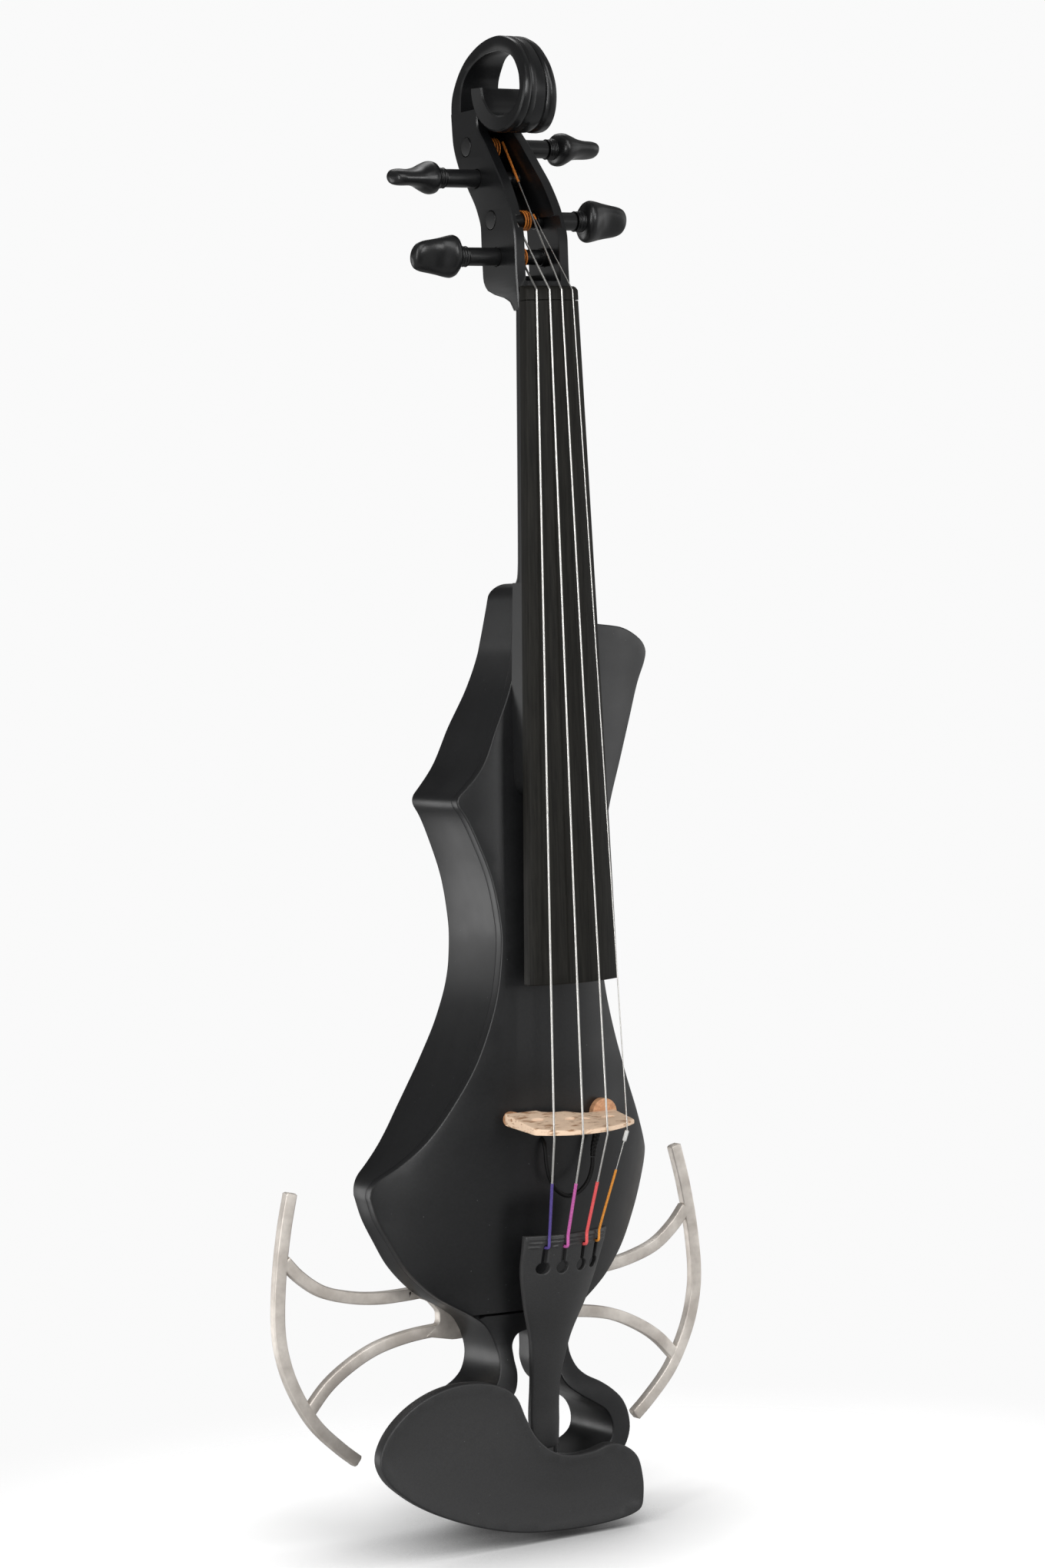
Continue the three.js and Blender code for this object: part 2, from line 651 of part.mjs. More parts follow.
function neckBar() {
  const end = clearance - bodyTop
  const stations = [0, 0.09, 0.3, 0.6, 0.85, 0.93, 0.965, 0.985, 1].map(share => [share, share * end])
  return loft(stations.map(([share, z]) => {
    const half = boardHalf(z) - neckInset
    const front = boardUnder(z) + clearance
    const depth = neckDepth * lookUp(neckDepthShares, share) - neckShoulder
    const angles = Array.from({ length: 11 }, (_, i) => Math.PI * i / 10)
    return {
      front: angles.map(angle => at(-half * Math.cos(angle), front, z)),
      back: angles.map(angle => at(-half * Math.cos(angle),
        front + neckShoulder + depth * Math.sin(angle) ** neckRoundness, z))
    }
  }))
}

function tongue() {
  const top = -bodyTop + overrun
  const bottom = -bodyTop - tongueLength
  const shares = [-1, -0.6, -0.2, 0.2, 0.6, 1]
  const ends = tongueEndShares.map(([share, width]) => [THREE.MathUtils.lerp(top, bottom, share), width])
  const bends = frontShares.map(([share]) => [bodyZ(share), 1]).filter(([z]) => z > ends[1][0])
  const stations = [...ends, ...bends].sort((a, b) => b[0] - a[0])
  const row = (z, width, depth) => shares.map(s => {
    const x = s * width * tongueWidth / 2
    return at(x, depth(x, z), z)
  })
  return loft(stations.map(([z, width]) => ({
    front: row(z, width, () => boardUnder(z) + clearance),
    back: row(z, width, (x, zz) => bodyFront(x, Math.min(zz, -bodyTop)) - clearance)
  })))
}

function pegboxBlock() {
  const unit = [0, 0.3, 1]
  const stations = [...pegboxFrontShares, ...pegboxBackShares].map(row => row[0])
  const shares = [...new Set(stations)].sort((a, b) => a - b)
  return loft(shares.map(share => {
    const z = share * pegboxHeight
    const half = pegboxHalf(z)
    const left = unit.map(u => -half + u * pegboxCorner)
    const xs = [...left, 0, ...left.map(x => -x).reverse()]
    const rounding = [1, 0.3, 0, 0, 0, 0.3, 1]
    return {
      front: xs.map(x => at(x, pegboxFront(z), z)),
      back: xs.map((x, i) => at(x, pegboxBack(z) - rounding[i] * pegboxCorner, z))
    }
  }))
}

function pegboxSlot() {
  const section = (z, near, far) => {
    const half = pegboxHalf(z) - pegboxWall
    return { front: [at(-half, near, z), at(half, near, z)], back: [at(-half, far, z), at(half, far, z)] }
  }
  const zs = slotShares.map(share => share * pegboxHeight)
  const trough = loft(zs.map(z => section(z, pegboxFront(z) - overrun, pegboxBack(z) - pegboxWall)))
  const [low, high] = backSlotShares.map(share => share * pegboxHeight)
  const behind = pegboxBack(high) + overrun
  return trough.add(loft([section(low, 0, behind), section(high, 0, behind)]))
}

function scroll() {
  const acrossShares = [-1, -0.62, -0.42, -0.22, 0.22, 0.42, 0.62, 1]
  const grooves = [0, 0, 1, 0, 0, 1, 0, 0]
  return loft(scrollOuterShares.map(([degrees, outer]) => {
    const angle = THREE.MathUtils.degToRad(degrees)
    const half = scrollWidth / 2 * lookUp(scrollHalfShares, degrees)
    const place = (x, radius) => at(x, scrollForward + radius * Math.cos(angle),
      scrollHeight + radius * Math.sin(angle))
    const inner = scrollRadius * lookUp(scrollInnerShares, degrees)
    return {
      front: acrossShares.map(s => place(s * half, inner)),
      back: acrossShares.map((s, i) => place(s * half, scrollRadius * outer - grooves[i] * grooveDepth))
    }
  }))
}

// Pegs, each a fixed sleeve, a head to turn and a geared drum that the string winds on

const pegs = {
  g: { side: -1, forwardShare: 0.3, heightShare: 0.197, turns: 3, middleShare: -0.2, blade: 113 },
  d: { side: -1, forwardShare: 0.584, heightShare: 0.629, turns: 3, middleShare: -0.45, blade: 10 },
  a: { side: 1, forwardShare: 0.741, heightShare: 0.808, turns: 3, middleShare: 0.3, blade: -10 },
  e: { side: 1, forwardShare: 0.371, heightShare: 0.395, turns: 3, middleShare: 0.4, blade: 113 }
}

function pegPlace(peg) {
  const centre = at(0, peg.forwardShare * pegboxDepth, peg.heightShare * pegboxHeight)
  const outer = pegboxHalf(centre.z)
  return { centre, outer, inner: outer - pegboxWall }
}

function pegHoles(solid) {
  return Object.values(pegs).reduce((rest, peg) => {
    const { centre, outer } = pegPlace(peg)
    return rest.subtract(rod('x', pegRadius + clearance, -outer - overrun, outer + overrun, centre, 14))
  }, solid)
}

function pegBarrel(peg) {
  const { centre, inner } = pegPlace(peg)
  const bore = spindleRadius + clearance
  const profile = [[bore, inner], [pegRadius, inner], [pegRadius, pegReach], [bore, pegReach], [bore, inner]]
  return turned('x', profile, centre, 16, peg.side)
}

function pegDrum(peg) {
  const { centre, outer, inner } = pegPlace(peg)
  const shoulder = inner - clearance
  const plug = windingRadius - inner
  const end = -outer - clearance
  const profile = [[0, end], [pegRadius, end], [pegRadius, plug], [drumRadius, plug], [drumRadius, shoulder],
    [spindleRadius, shoulder], [spindleRadius, shoulder + spindleLength], [0, shoulder + spindleLength]]
  return turned('x', profile, centre, 16, peg.side)
}

// The head's shape by shares of its length, width and thickness
const headShares = [[0, 0.5, 0.62], [0.08, 0.94, 0.97], [0.15, 1, 1], [0.27, 0.96, 0.84], [0.48, 0.84, 0.62],
  [0.75, 0.72, 0.54], [0.92, 0.54, 0.42], [1, 0.22, 0.2]]

function pegHead(peg) {
  const { centre } = pegPlace(peg)
  const start = pegReach + clearance
  const collarEnd = start + collarLength
  const groove = collarLength / 8
  const stem = turned('x', [[0, pegReach - spindleLength], [spindleRadius, pegReach - spindleLength],
    [spindleRadius, start], [collarRadius, start], [collarRadius, start + 2 * groove],
    [collarRadius - groove, start + 3 * groove], [collarRadius - groove, start + 5 * groove],
    [collarRadius, start + 6 * groove], [collarRadius, collarEnd], [0, collarEnd]], centre, 14, peg.side)
  const turn = THREE.MathUtils.degToRad(peg.blade)
  const blade = skin(headShares.map(([length, width, thickness]) => Array.from({ length: 10 }, (_, i) => {
    const angle = 2 * Math.PI * i / 10
    const a = width * headWidth / 2 * Math.cos(angle)
    const b = thickness * headThickness / 2 * Math.sin(angle)
    const x = collarEnd - groove + length * headLength
    return at(peg.side * x, centre.y + a * Math.cos(turn) - b * Math.sin(turn),
      centre.z + a * Math.sin(turn) + b * Math.cos(turn))
  })))
  return stem.add(blade)
}

// The middle of a string's turns, clear of both walls of the pegbox
function windingMiddle(peg) {
  const { inner } = pegPlace(peg)
  const room = inner - (peg.turns / 2 + 1) * windingPitch - clearance
  return THREE.MathUtils.clamp(peg.middleShare * inner, -room, room)
}

const windRadius = drumRadius + clearance + windingRadius

// Turns of string round the drum as one helix, with a straight end of one diameter each way
function windingLine(peg) {
  const { centre } = pegPlace(peg)
  const steps = windingSteps * peg.turns
  const line = Array.from({ length: steps + 1 }, (_, i) => {
    const angle = 2 * Math.PI * i / windingSteps
    const x = windingMiddle(peg) + (i / steps - 0.5) * peg.turns * windingPitch
    return at(x, centre.y + windRadius * Math.cos(angle), centre.z + windRadius * Math.sin(angle))
  })
  const straight = (from, towards) => from.clone().sub(towards).setLength(2 * windingRadius).add(from)
  return [straight(line[0], line[1]), ...line, straight(line.at(-1), line.at(-2))]
}

function leastGap(name, line) {
  let least = Infinity
  line.forEach((point, i) => line.slice(i + windingSteps / 2).forEach(other => {
    least = Math.min(least, point.distanceTo(other) - 2 * windingRadius)
  }))
  console.log(`winding_${name}: least gap to itself ${least.toFixed(2)} mm`)
}

// Strings

const stringOrder = { g: -1, d: -1 / 3, a: 1 / 3, e: 1 }

function nutPoint(name) {
  const x = stringOrder[name] * nutSpread / 2
  return at(x, crown + sagitta(fingerboardRadius, x) - nutAction, 0)
}

// A string at the edge of the bridge's crown, towards the nut or towards the tailpiece
function bridgePoint(name, turn) {
  const x = stringOrder[name] * bridgeSpread / 2
  const z = turn * bridgeCrownThickness / 2 - stringLength
  return at(x, crown - bridgeAction + sagitta(fingerboardRadius, x), z)
}

// Where the string meets the drum beside its turns, on the side towards the front
function drumPoint(name) {
  const peg = pegs[name]
  const { centre } = pegPlace(peg)
  const start = nutPoint(name)
  const [dy, dz] = [centre.y - start.y, centre.z - start.z]
  const distance = Math.hypot(dy, dz)
  const turn = Math.atan2(dz, dy) + Math.asin(windRadius / distance)
  const reach = Math.sqrt(distance ** 2 - windRadius ** 2)
  const beside = (peg.turns / 2 + 1) * windingPitch
  const x = windingMiddle(peg) + Math.sign(peg.middleShare) * beside
  return at(x, start.y + reach * Math.cos(turn), start.z + reach * Math.sin(turn))
}

// The tailpiece tapers from its head to its end, by half width, edge depth and middle depth
const tailHalfShares = [[0, 1], [0.045, 0.99], [0.156, 0.937], [0.311, 0.768], [0.522, 0.46], [0.744, 0.345],
  [0.856, 0.353], [1, 0.316]]
const tailEdgeShares = [[0, 0.31], [0.045, 0.34], [0.156, 0.445], [0.311, 0.555], [0.522, 0.71], [0.744, 0.84],
  [0.856, 0.87], [1, 0.875]]
const tailMiddleShares = [[0, 0.151], [0.045, 0.173], [0.156, 0.243], [0.311, 0.4], [0.522, 0.65], [0.744, 0.81],
  [0.856, 0.845], [1, 0.85]]
const tailSlotShares = { g: -0.593, d: -0.2, a: 0.27, e: 0.655 }

const tailTop = -stringLength - afterLength
const tailShare = z => (tailTop - z) / (tailTop + tailpieceEnd)

function tailFront(x, z) {
  const share = tailShare(z)
  const half = tailpieceHalf * lookUp(tailHalfShares, share)
  const middle = tailpieceDepth * lookUp(tailMiddleShares, share)
  const edge = tailpieceDepth * lookUp(tailEdgeShares, share)
  return middle + (edge - middle) * (x / half) ** 2
}

function tailpiece() {
  const acrossShares = [-1, -0.75, -0.5, -0.25, 0, 0.25, 0.5, 0.75, 1]
  const shares = [0, 0.045, 0.1, 0.156, 0.23, 0.311, 0.42, 0.522, 0.64, 0.744, 0.856, 1]
  let solid = loft(shares.map(share => {
    const z = tailTop - share * (tailTop + tailpieceEnd)
    const half = tailpieceHalf * lookUp(tailHalfShares, share)
    const row = depth => acrossShares.map(s => at(s * half, tailFront(s * half, z) + depth, z))
    return { front: row(0), back: row(tailpieceThickness) }
  }))
  for (const share of Object.values(tailSlotShares)) {
    const x = share * tailpieceHalf
    const bottom = tailTop - slotInset - slotLength
    solid = solid.subtract(rod('y', keyholeRadius, -tailpieceDepth, tailpieceDepth, at(x, 0, bottom), 14))
    solid = solid.subtract(block(x - slotWidth / 2, x + slotWidth / 2, -tailpieceDepth, tailpieceDepth,
      bottom, bottom + slotLength))
  }
  return solid
}

// The whole route of a string from its drum over nut and bridge into its slot, with its ball behind the slot
function stringSolid(name) {
  const thin = stringRadius[name]
  const silk = silkRadius[name]
  const nutEnd = nutPoint(name)
  const [bridgeFront, bridge] = [1, -1].map(turn => bridgePoint(name, turn))
  const slotX = tailSlotShares[name] * tailpieceHalf
  const slotTop = tailTop - slotInset
  const over = at(slotX, tailFront(slotX, tailTop) - silk - clearance, tailTop)
  const into = at(slotX, tailFront(slotX, slotTop) - silk - clearance, slotTop - silk - clearance)
  const behind = into.clone().setY(into.y + tailpieceThickness + silk + ballRadius + 4 * clearance)
  const run = over.clone().sub(bridge).normalize()
  const silkTop = bridge.clone().addScaledVector(run, silkStart[name])
  const before = silkTop.clone().addScaledVector(run, -clearance)
  const points = [drumPoint(name), nutEnd, bridgeFront, bridge, before, silkTop, over, into, behind]
  const radii = [thin, thin, thin, thin, thin, silk, silk, silk, silk]
  const line = tube(points, radii, 6)
  const ball = new THREE.SphereGeometry(ballRadius, 8, 5)
  ball.translate(behind.x, behind.y, behind.z)
  return line.add(toSolid(ball))
}

function stringTube() {
  const start = bridgePoint('e', -1)
  const slotX = tailSlotShares.e * tailpieceHalf
  const over = at(slotX, tailFront(slotX, tailTop) - silkRadius.e - clearance, tailTop)
  const run = over.sub(start).normalize()
  const from = start.clone().addScaledVector(run, tubeRadius)
  const to = from.clone().addScaledVector(run, tubeLength)
  const outer = tube([from, to], tubeRadius, 10)
  const ends = [from.clone().addScaledVector(run, -overrun), to.clone().addScaledVector(run, overrun)]
  return outer.subtract(tube(ends, stringRadius.e + clearance / 2, 8))
}

// Bridge and pickup

const bridgeCrownY = crown - bridgeAction + stringRadius.g + clearance
const discPlace = side => at(side * discSpacing / 2, 0, -stringLength + discRise)
const discTop = bodyFront(discSpacing / 2, -stringLength + discRise) - discThickness - clearance

function bridge() {
  const crownShares = [1, 0.8, 0.55, 0.28, 0, -0.28, -0.55, -0.8, -1]
  const foot = discTop - clearance
  const crownLine = crownShares.map(s => s * bridgeHalf)
    .map(x => [x, bridgeCrownY + sagitta(fingerboardRadius, x)])
  const archLine = [1, 0.85, 0.5, 0, -0.5, -0.85, -1].map(s => [s * bridgeArchHalf,
    foot - bridgeArchRise * Math.sqrt(1 - s * s)])
  const outline = [...crownLine, [-bridgeFootHalf, foot], ...archLine.toReversed(), [bridgeFootHalf, foot]]
  const z = -stringLength
  const footMiddle = z + bridgeLean
  const face = prism('z', outline, z - overrun, z + 3 * overrun)
  const [low, high] = [footMiddle - bridgeFootThickness / 2, footMiddle + bridgeFootThickness / 2]
  const side = [[foot + overrun, low], [foot, low], [bridgeCrownY, z - bridgeCrownThickness / 2],
    [bridgeCrownY - overrun, z - bridgeCrownThickness / 2],
    [bridgeCrownY - overrun, z + bridgeCrownThickness / 2],
    [bridgeCrownY, z + bridgeCrownThickness / 2], [foot, high], [foot + overrun, high]]
  return face.intersect(prism('x', side, -2 * bridgeFootHalf, 2 * bridgeFootHalf))
}

function pickupDisc(side) {
  const body = rod('y', discRadius, discTop, discTop + 2 * discThickness + overrun, discPlace(side), 24)
  return body.subtract(frontLayer(0, plateEndShare, -clearance, 4 * plateThickness))
}

// The lead hangs in a loop from its boot under the treble foot and enters the front plate
const bootLine = [[18.4, 15.4, -331.4], [17.5, 15.2, -334.6], [16.2, 15, -338], [15.5, 14.9, -342]]
const cableLine = [[15.5, 14.9, -342.4], [15, 14.8, -346], [12.5, 14.6, -351.5], [8, 14.4, -355.3],
  [3, 14.2, -356.4], [-2, 14, -354], [-5.5, 13.8, -349], [-6.9, 13.8, -343], [-7, 14.8, -335],
  [-7, 17.5, -332.3], [-7, 23, -332], [-7, 40, -332], [-7, 52, -332]]

const cableEntry = at(...cableLine.at(-1))

function cable() {
  return tube(smooth(cableLine, 32), cableRadius, 6)
}

function boot() {
  const line = bootLine.map(p => at(...p))
  return tube(line, [bootRadius, bootRadius, 0.8 * bootRadius, 0.6 * bootRadius], 10)
}

// Tail cord and end button

const ringFront = bodyFront(0, bodyZ(1))
const ringBack = bodyBack(bodyZ(1))
const buttonY = (ringFront + ringBack) / 2
const cordLevel = bodyZ(1) - tailCordRadius - clearance

function tailCord() {
  const x = tailCordSpacing / 2
  const front = ringFront - tailCordRadius - clearance
  const start = -tailpieceEnd - clearance
  const strand = [[x, front, start], [x, front, bodyZ(1) + tailCordRadius], [x, ringFront, cordLevel]]
  const arc = [0, 30, 60, 90, 120, 150, 180].map(degrees => {
    const angle = THREE.MathUtils.degToRad(degrees)
    return [x * Math.cos(angle), buttonY + x * Math.sin(angle), cordLevel]
  })
  const mirrored = strand.map(([sx, sy, sz]) => [-sx, sy, sz]).reverse()
  return tube([...strand, ...arc, ...mirrored].map(p => at(...p)), tailCordRadius, 6)
}

function endButton() {
  const headTop = cordLevel - tailCordRadius - clearance
  const pinTop = bodyZ(1) + buttonHeadRadius
  return turned('z', [[0, headTop - buttonHeadLength], [0.7 * buttonHeadRadius, headTop - buttonHeadLength],
    [buttonHeadRadius, headTop - 0.6 * buttonHeadLength], [buttonHeadRadius, headTop],
    [buttonPinRadius, headTop],
    [buttonPinRadius, pinTop], [0, pinTop]], at(0, buttonY, 0), 20)
}

// Chin rest, as shares of its width and height from its top edge
const chinShares = [[-0.729, 0.385], [-0.702, 0.257], [-0.622, 0.117], [-0.506, 0.022], [-0.381, 0],
  [-0.273, 0.045],
  [-0.212, 0.125], [-0.176, 0.271], [-0.14, 0.394], [-0.079, 0.495], [-0.007, 0.538], [0.074, 0.535],
  [0.146, 0.508], [0.203, 0.538], [0.25, 0.615], [0.268, 0.746], [0.269, 0.838], [0.258, 0.935],
  [0.225, 0.968],
  [0.101, 0.995], [-0.058, 0.992], [-0.218, 0.96], [-0.372, 0.883], [-0.525, 0.765], [-0.636, 0.635],
  [-0.709, 0.502]]
const chinMiddleShares = [-0.22, 0.63]
// The plate's rings from the middle of its back round the rim to the middle of its dished front
const chinRingShares = [[0.4, 0.95], [0.82, 0.98], [0.95, 0.8], [1, 0.42], [0.985, 0.08], [0.95, 0],
  [0.85, 0.22], [0.6, 0.42], [0.3, 0.5]]
const chinBarrelZ = bodyZ(1) - chinBarrelDrop

function chinRest() {
  const outline = smooth(chinShares.map(([x, z]) => [x * chinWidth, 0, -chinTop - z * chinHeight]), 36, true)
  const middle = at(chinMiddleShares[0] * chinWidth, 0, -chinTop - chinMiddleShares[1] * chinHeight)
  const rings = chinRingShares.map(([size, depth]) => outline.map(point => {
    const place = middle.clone().lerp(point, size)
    return place.setY(chinFront + depth * chinThickness)
  }))
  let solid = skin(rings)
  const back = chinFront + chinThickness
  const postTop = bodyZ(1) + chinPostHeight + chinBarrelRadius
  for (const side of [-1, 1]) {
    const x0 = side * chinBarrelSpacing / 2 - chinPostWidth / 2
    solid = solid.add(block(x0, x0 + chinPostWidth, back - chinThickness / 2, ringFront - clearance,
      postTop - chinPostHeight, postTop))
    solid = solid.subtract(rod('y', chinStudRadius + clearance, back - chinThickness / 2, back + overrun,
      at(side * chinBarrelSpacing / 2, 0, chinBarrelZ), 12))
  }
  return solid
}

function chinBarrel(side) {
  const back = chinFront + chinThickness
  const start = back + clearance
  const end = ringBack
  const stud = chinThickness / 2 - clearance
  return turned('y', [[0, start - stud], [chinStudRadius, start - stud], [chinStudRadius, start],
    [chinBarrelRadius, start], [chinBarrelRadius, end], [chinStudRadius, end],
    [chinStudRadius, end + chinFootThickness], [0, end + chinFootThickness]],
    at(side * chinBarrelSpacing / 2, 0, chinBarrelZ), 16)
}

function chinFoot() {
  const y0 = ringBack + clearance
  const top = chinBarrelZ - chinBarrelRadius - clearance + chinFootHeight
  const half = chinFootWidth / 2
  let foot = block(-half, half, y0, y0 + chinFootThickness, top - chinFootHeight, top)
  for (const side of [-1, 1]) {
    foot = foot.subtract(rod('y', chinStudRadius + clearance, y0 - overrun, y0 + overrun + chinFootThickness,
      at(side * chinBarrelSpacing / 2, 0, chinBarrelZ), 12))
  }
  return foot
}

// Arms: a curved bar carried by two curved spokes on a pad that is screwed to the back
const arcShares = [[0.9, 0], [0.935, 0.134], [0.965, 0.304], [0.977, 0.473], [0.965, 0.571], [0.925, 0.688],
  [0.836, 0.83], [0.722, 0.935], [0.655, 0.985]]
const upperSpokeShares = [[0.94, 0.235], [0.88, 0.295], [0.785, 0.358], [0.67, 0.393], [0.54, 0.412],
  [0.4, 0.414], [0.22, 0.405]]
const lowerSpokeShares = [[0.865, 0.79], [0.78, 0.708], [0.69, 0.651], [0.56, 0.596], [0.41, 0.567],
  [0.25, 0.558], [0.14, 0.56]]
const padShares = [[0.02, 0.38], [0.3, 0.38], [0.4, 0.415], [0.3, 0.45], [0.262, 0.49], [0.262, 0.53],
  [0.33, 0.575], [0.2, 0.6], [0.104, 0.6], [0.104, 0.52], [0.02, 0.52]]
const armScrewShares = [[0.1, 0.46], [0.155, 0.565]]

const armPoint = (side, [x, z]) => [side * x * armHalf, -armTop - z * armHeight]

// A flat bar of even width that follows a line of points
function ribbon(shares, side, width, near, far) {
  const line = smooth(shares.map(share => {
    const [x, z] = armPoint(side, share)
    return [x, 0, z]
  }), 14)
  const edge = turn => line.map((point, i) => {
    const run = line[Math.min(i + 1, 14)].clone().sub(line[Math.max(i - 1, 0)]).normalize()
    return point.clone().add(at(-run.z, 0, run.x).multiplyScalar(turn * width / 2))
  })
  const [one, two] = [edge(1), edge(-1)]
  const row = y => one.map((point, i) => ({ a: point.clone().setY(y), b: two[i].clone().setY(y) }))
  const [front, back] = [row(near), row(far)]
  return loft(front.map((pair, i) => ({ front: [pair.a, pair.b], back: [back[i].a, back[i].b] })))
}

function arm(side) {
  const near = ringBack
  const far = ringBack + armThickness
  let solid = ribbon(arcShares, side, armBar, near, far)
  solid = solid.add(ribbon(upperSpokeShares, side, armBar, near, far))
  solid = solid.add(ribbon(lowerSpokeShares, side, armBar, near, far))
  solid = solid.add(prism('y', padShares.map(share => armPoint(side, share)), near, far))
  for (const share of armScrewShares) {
    const [x, z] = armPoint(side, share)
    const bore = rod('y', armScrewRadius + clearance, near - overrun, far + overrun, at(x, 0, z), 12)
    solid = solid.subtract(bore)
  }
  return solid
}

function armScrewHole(side, share) {
  const [x, z] = armPoint(side, share)
  const depth = armScrewLength - armThickness
  return rod('y', armScrewRadius + clearance, ringBack - depth, ringBack + overrun, at(x, 0, z), 10)
}

function armScrew(side, share) {
  const [x, z] = armPoint(side, share)
  const top = ringBack + armThickness + clearance + armScrewHeadHeight
  return screw('y', at(x, 0, z), armScrewRadius, armScrewHead, armScrewHeadHeight, armScrewLength, top, 1)
}

// Assembly

function body() {
  let core = ribs().subtract(ringOpening()).subtract(stemRecess())
  core = core.subtract(backPocket()).subtract(jackHole()).subtract(cableHole()).subtract(buttonHole())
  for (const side of [-1, 1]) {
    for (const share of armScrewShares) core = core.subtract(armScrewHole(side, share))
  }
  add('body_core', core, black)
  add('top_plate', frontLayer(0, plateEndShare, 0, plateThickness).subtract(cableHole()), black)
}

function head() {
  const box = pegboxBlock().subtract(pegboxSlot())
  add('neck', pegHoles(neckBar().add(tongue()).add(box).add(scroll())), black)
  add('fingerboard', fingerboard(), ebony)
  add('nut', nut(), ebony)
  for (const [name, peg] of Object.entries(pegs)) {
    add(`peg_barrel_${name}`, pegBarrel(peg), black)
    add(`peg_head_${name}`, pegHead(peg), black)
    add(`string_drum_${name}`, pegDrum(peg), black)
    const line = windingLine(peg)
    leastGap(name, line)
    add(`winding_${name}`, tube(line, windingRadius, 6), silkOrange)
  }
}

function stringsAndBridge() {
  for (const name of Object.keys(pegs)) add(`string_${name}`, stringSolid(name), steel)
  add('string_tube', stringTube(), clearPlastic)
  add('bridge', bridge(), maple)
  add('pickup_disc_bass', pickupDisc(-1), discWood)
  add('pickup_disc_treble', pickupDisc(1), discWood)
  add('pickup_cable', cable(), rubber)
  add('cable_boot', boot(), rubber)
  add('tailpiece', tailpiece(), blackPlastic)
  add('tail_cord', tailCord(), blackPlastic)
  add('end_button', endButton(), black)
}

function playersSide() {
  add('chin_rest', chinRest(), black)
  add('chin_clamp_foot', chinFoot(), steel)
  add('chin_barrel_1', chinBarrel(-1), steel)
  add('chin_barrel_2', chinBarrel(1), steel)
  for (const [name, side] of [['left', -1], ['right', 1]]) {
    add(`${name}_frame`, arm(side), aluminium)
    armScrewShares.forEach((share, i) => add(`${name}_frame_screw_${i + 1}`, armScrew(side, share), steel))
  }
}

body()
electronics()
head()
stringsAndBridge()
playersSide()

export default violin
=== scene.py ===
import math

import bmesh
import bpy
import numpy as np
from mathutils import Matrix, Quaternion, Vector, geometry


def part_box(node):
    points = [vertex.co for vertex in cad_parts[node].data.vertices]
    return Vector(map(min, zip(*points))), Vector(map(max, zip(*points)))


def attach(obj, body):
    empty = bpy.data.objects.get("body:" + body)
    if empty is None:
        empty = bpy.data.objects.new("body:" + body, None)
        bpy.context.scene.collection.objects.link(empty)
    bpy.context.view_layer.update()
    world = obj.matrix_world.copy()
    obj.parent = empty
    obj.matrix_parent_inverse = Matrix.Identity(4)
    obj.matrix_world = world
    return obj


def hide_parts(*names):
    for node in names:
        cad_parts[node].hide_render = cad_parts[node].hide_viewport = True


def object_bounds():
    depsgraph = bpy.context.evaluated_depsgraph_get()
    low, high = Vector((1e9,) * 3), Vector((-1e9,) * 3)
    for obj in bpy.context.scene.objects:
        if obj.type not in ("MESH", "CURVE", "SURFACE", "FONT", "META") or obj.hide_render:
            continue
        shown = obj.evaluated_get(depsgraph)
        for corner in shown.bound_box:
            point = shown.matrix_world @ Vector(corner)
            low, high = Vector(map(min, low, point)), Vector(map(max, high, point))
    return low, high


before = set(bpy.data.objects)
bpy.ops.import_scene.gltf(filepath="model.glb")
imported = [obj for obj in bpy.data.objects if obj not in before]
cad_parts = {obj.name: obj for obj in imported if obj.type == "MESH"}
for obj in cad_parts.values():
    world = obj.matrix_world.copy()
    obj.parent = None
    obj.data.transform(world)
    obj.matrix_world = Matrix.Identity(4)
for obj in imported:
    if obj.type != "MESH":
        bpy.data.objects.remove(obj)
cad_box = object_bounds()

# An electric violin. Lengths are in millimetres until a mesh is made, z = 0 is the nut, the front faces -y.
MM = 0.001
CLEARANCE = 0.3

# Strings
STRING_LENGTH = 328
NUT_SPREAD = 16.5
BRIDGE_SPREAD = 34
NUT_ACTION = 0.7
BRIDGE_ACTION = 5.5
BRIDGE_NOTCH = 3
AFTER_LENGTH = 42
STRING_ORDER = {"g": -1, "d": -1 / 3, "a": 1 / 3, "e": 1}
STRING_RADIUS = {"g": 0.42, "d": 0.42, "a": 0.38, "e": 0.24}
SILK_RADIUS = {"g": 0.6, "d": 0.65, "a": 0.65, "e": 0.5}
SILK_START = {"g": 20, "d": 21, "a": 21.5, "e": 17.5}
PEG_SILK_LENGTH = {"g": 2, "d": 12, "a": 20, "e": 2}
BALL_RADIUS = 1.8

# Neck and fingerboard
NUT_WIDTH = 24
NUT_THICKNESS = 4
NUT_CREST = 1.8
BOARD_LENGTH = 270
BOARD_END_WIDTH = 41
BOARD_RADIUS = 42
BOARD_EDGE = 5
NECK_DEPTH = 13
TONGUE_WIDTH = 30
TONGUE_LENGTH = 84

# Head
PEGBOX_HEIGHT = 74
PEGBOX_DEPTH = 51
PEGBOX_WIDTH = 24.6
PEGBOX_WALL = 4.3
PEG_HOLE_RADIUS = 3.9
SCROLL_RADIUS = 22
SCROLL_WIDTH = 24
SCROLL_FORWARD = 17.75
SCROLL_HEIGHT = 81

# Body
BODY_TOP = 113
BODY_LENGTH = 363
BODY_END = BODY_TOP + BODY_LENGTH
BODY_HALF = 65
BODY_DEPTH = 60
ARCH_RADIUS = 82
PLATE_THICKNESS = 4
RIB_CORNER = 3.5

# Arms
ARM_HALF = 102
ARM_TOP = BODY_END - 125
ARM_HEIGHT = 112
ARM_THICKNESS = 4
ARM_BAR = 5


# Lines and outlines

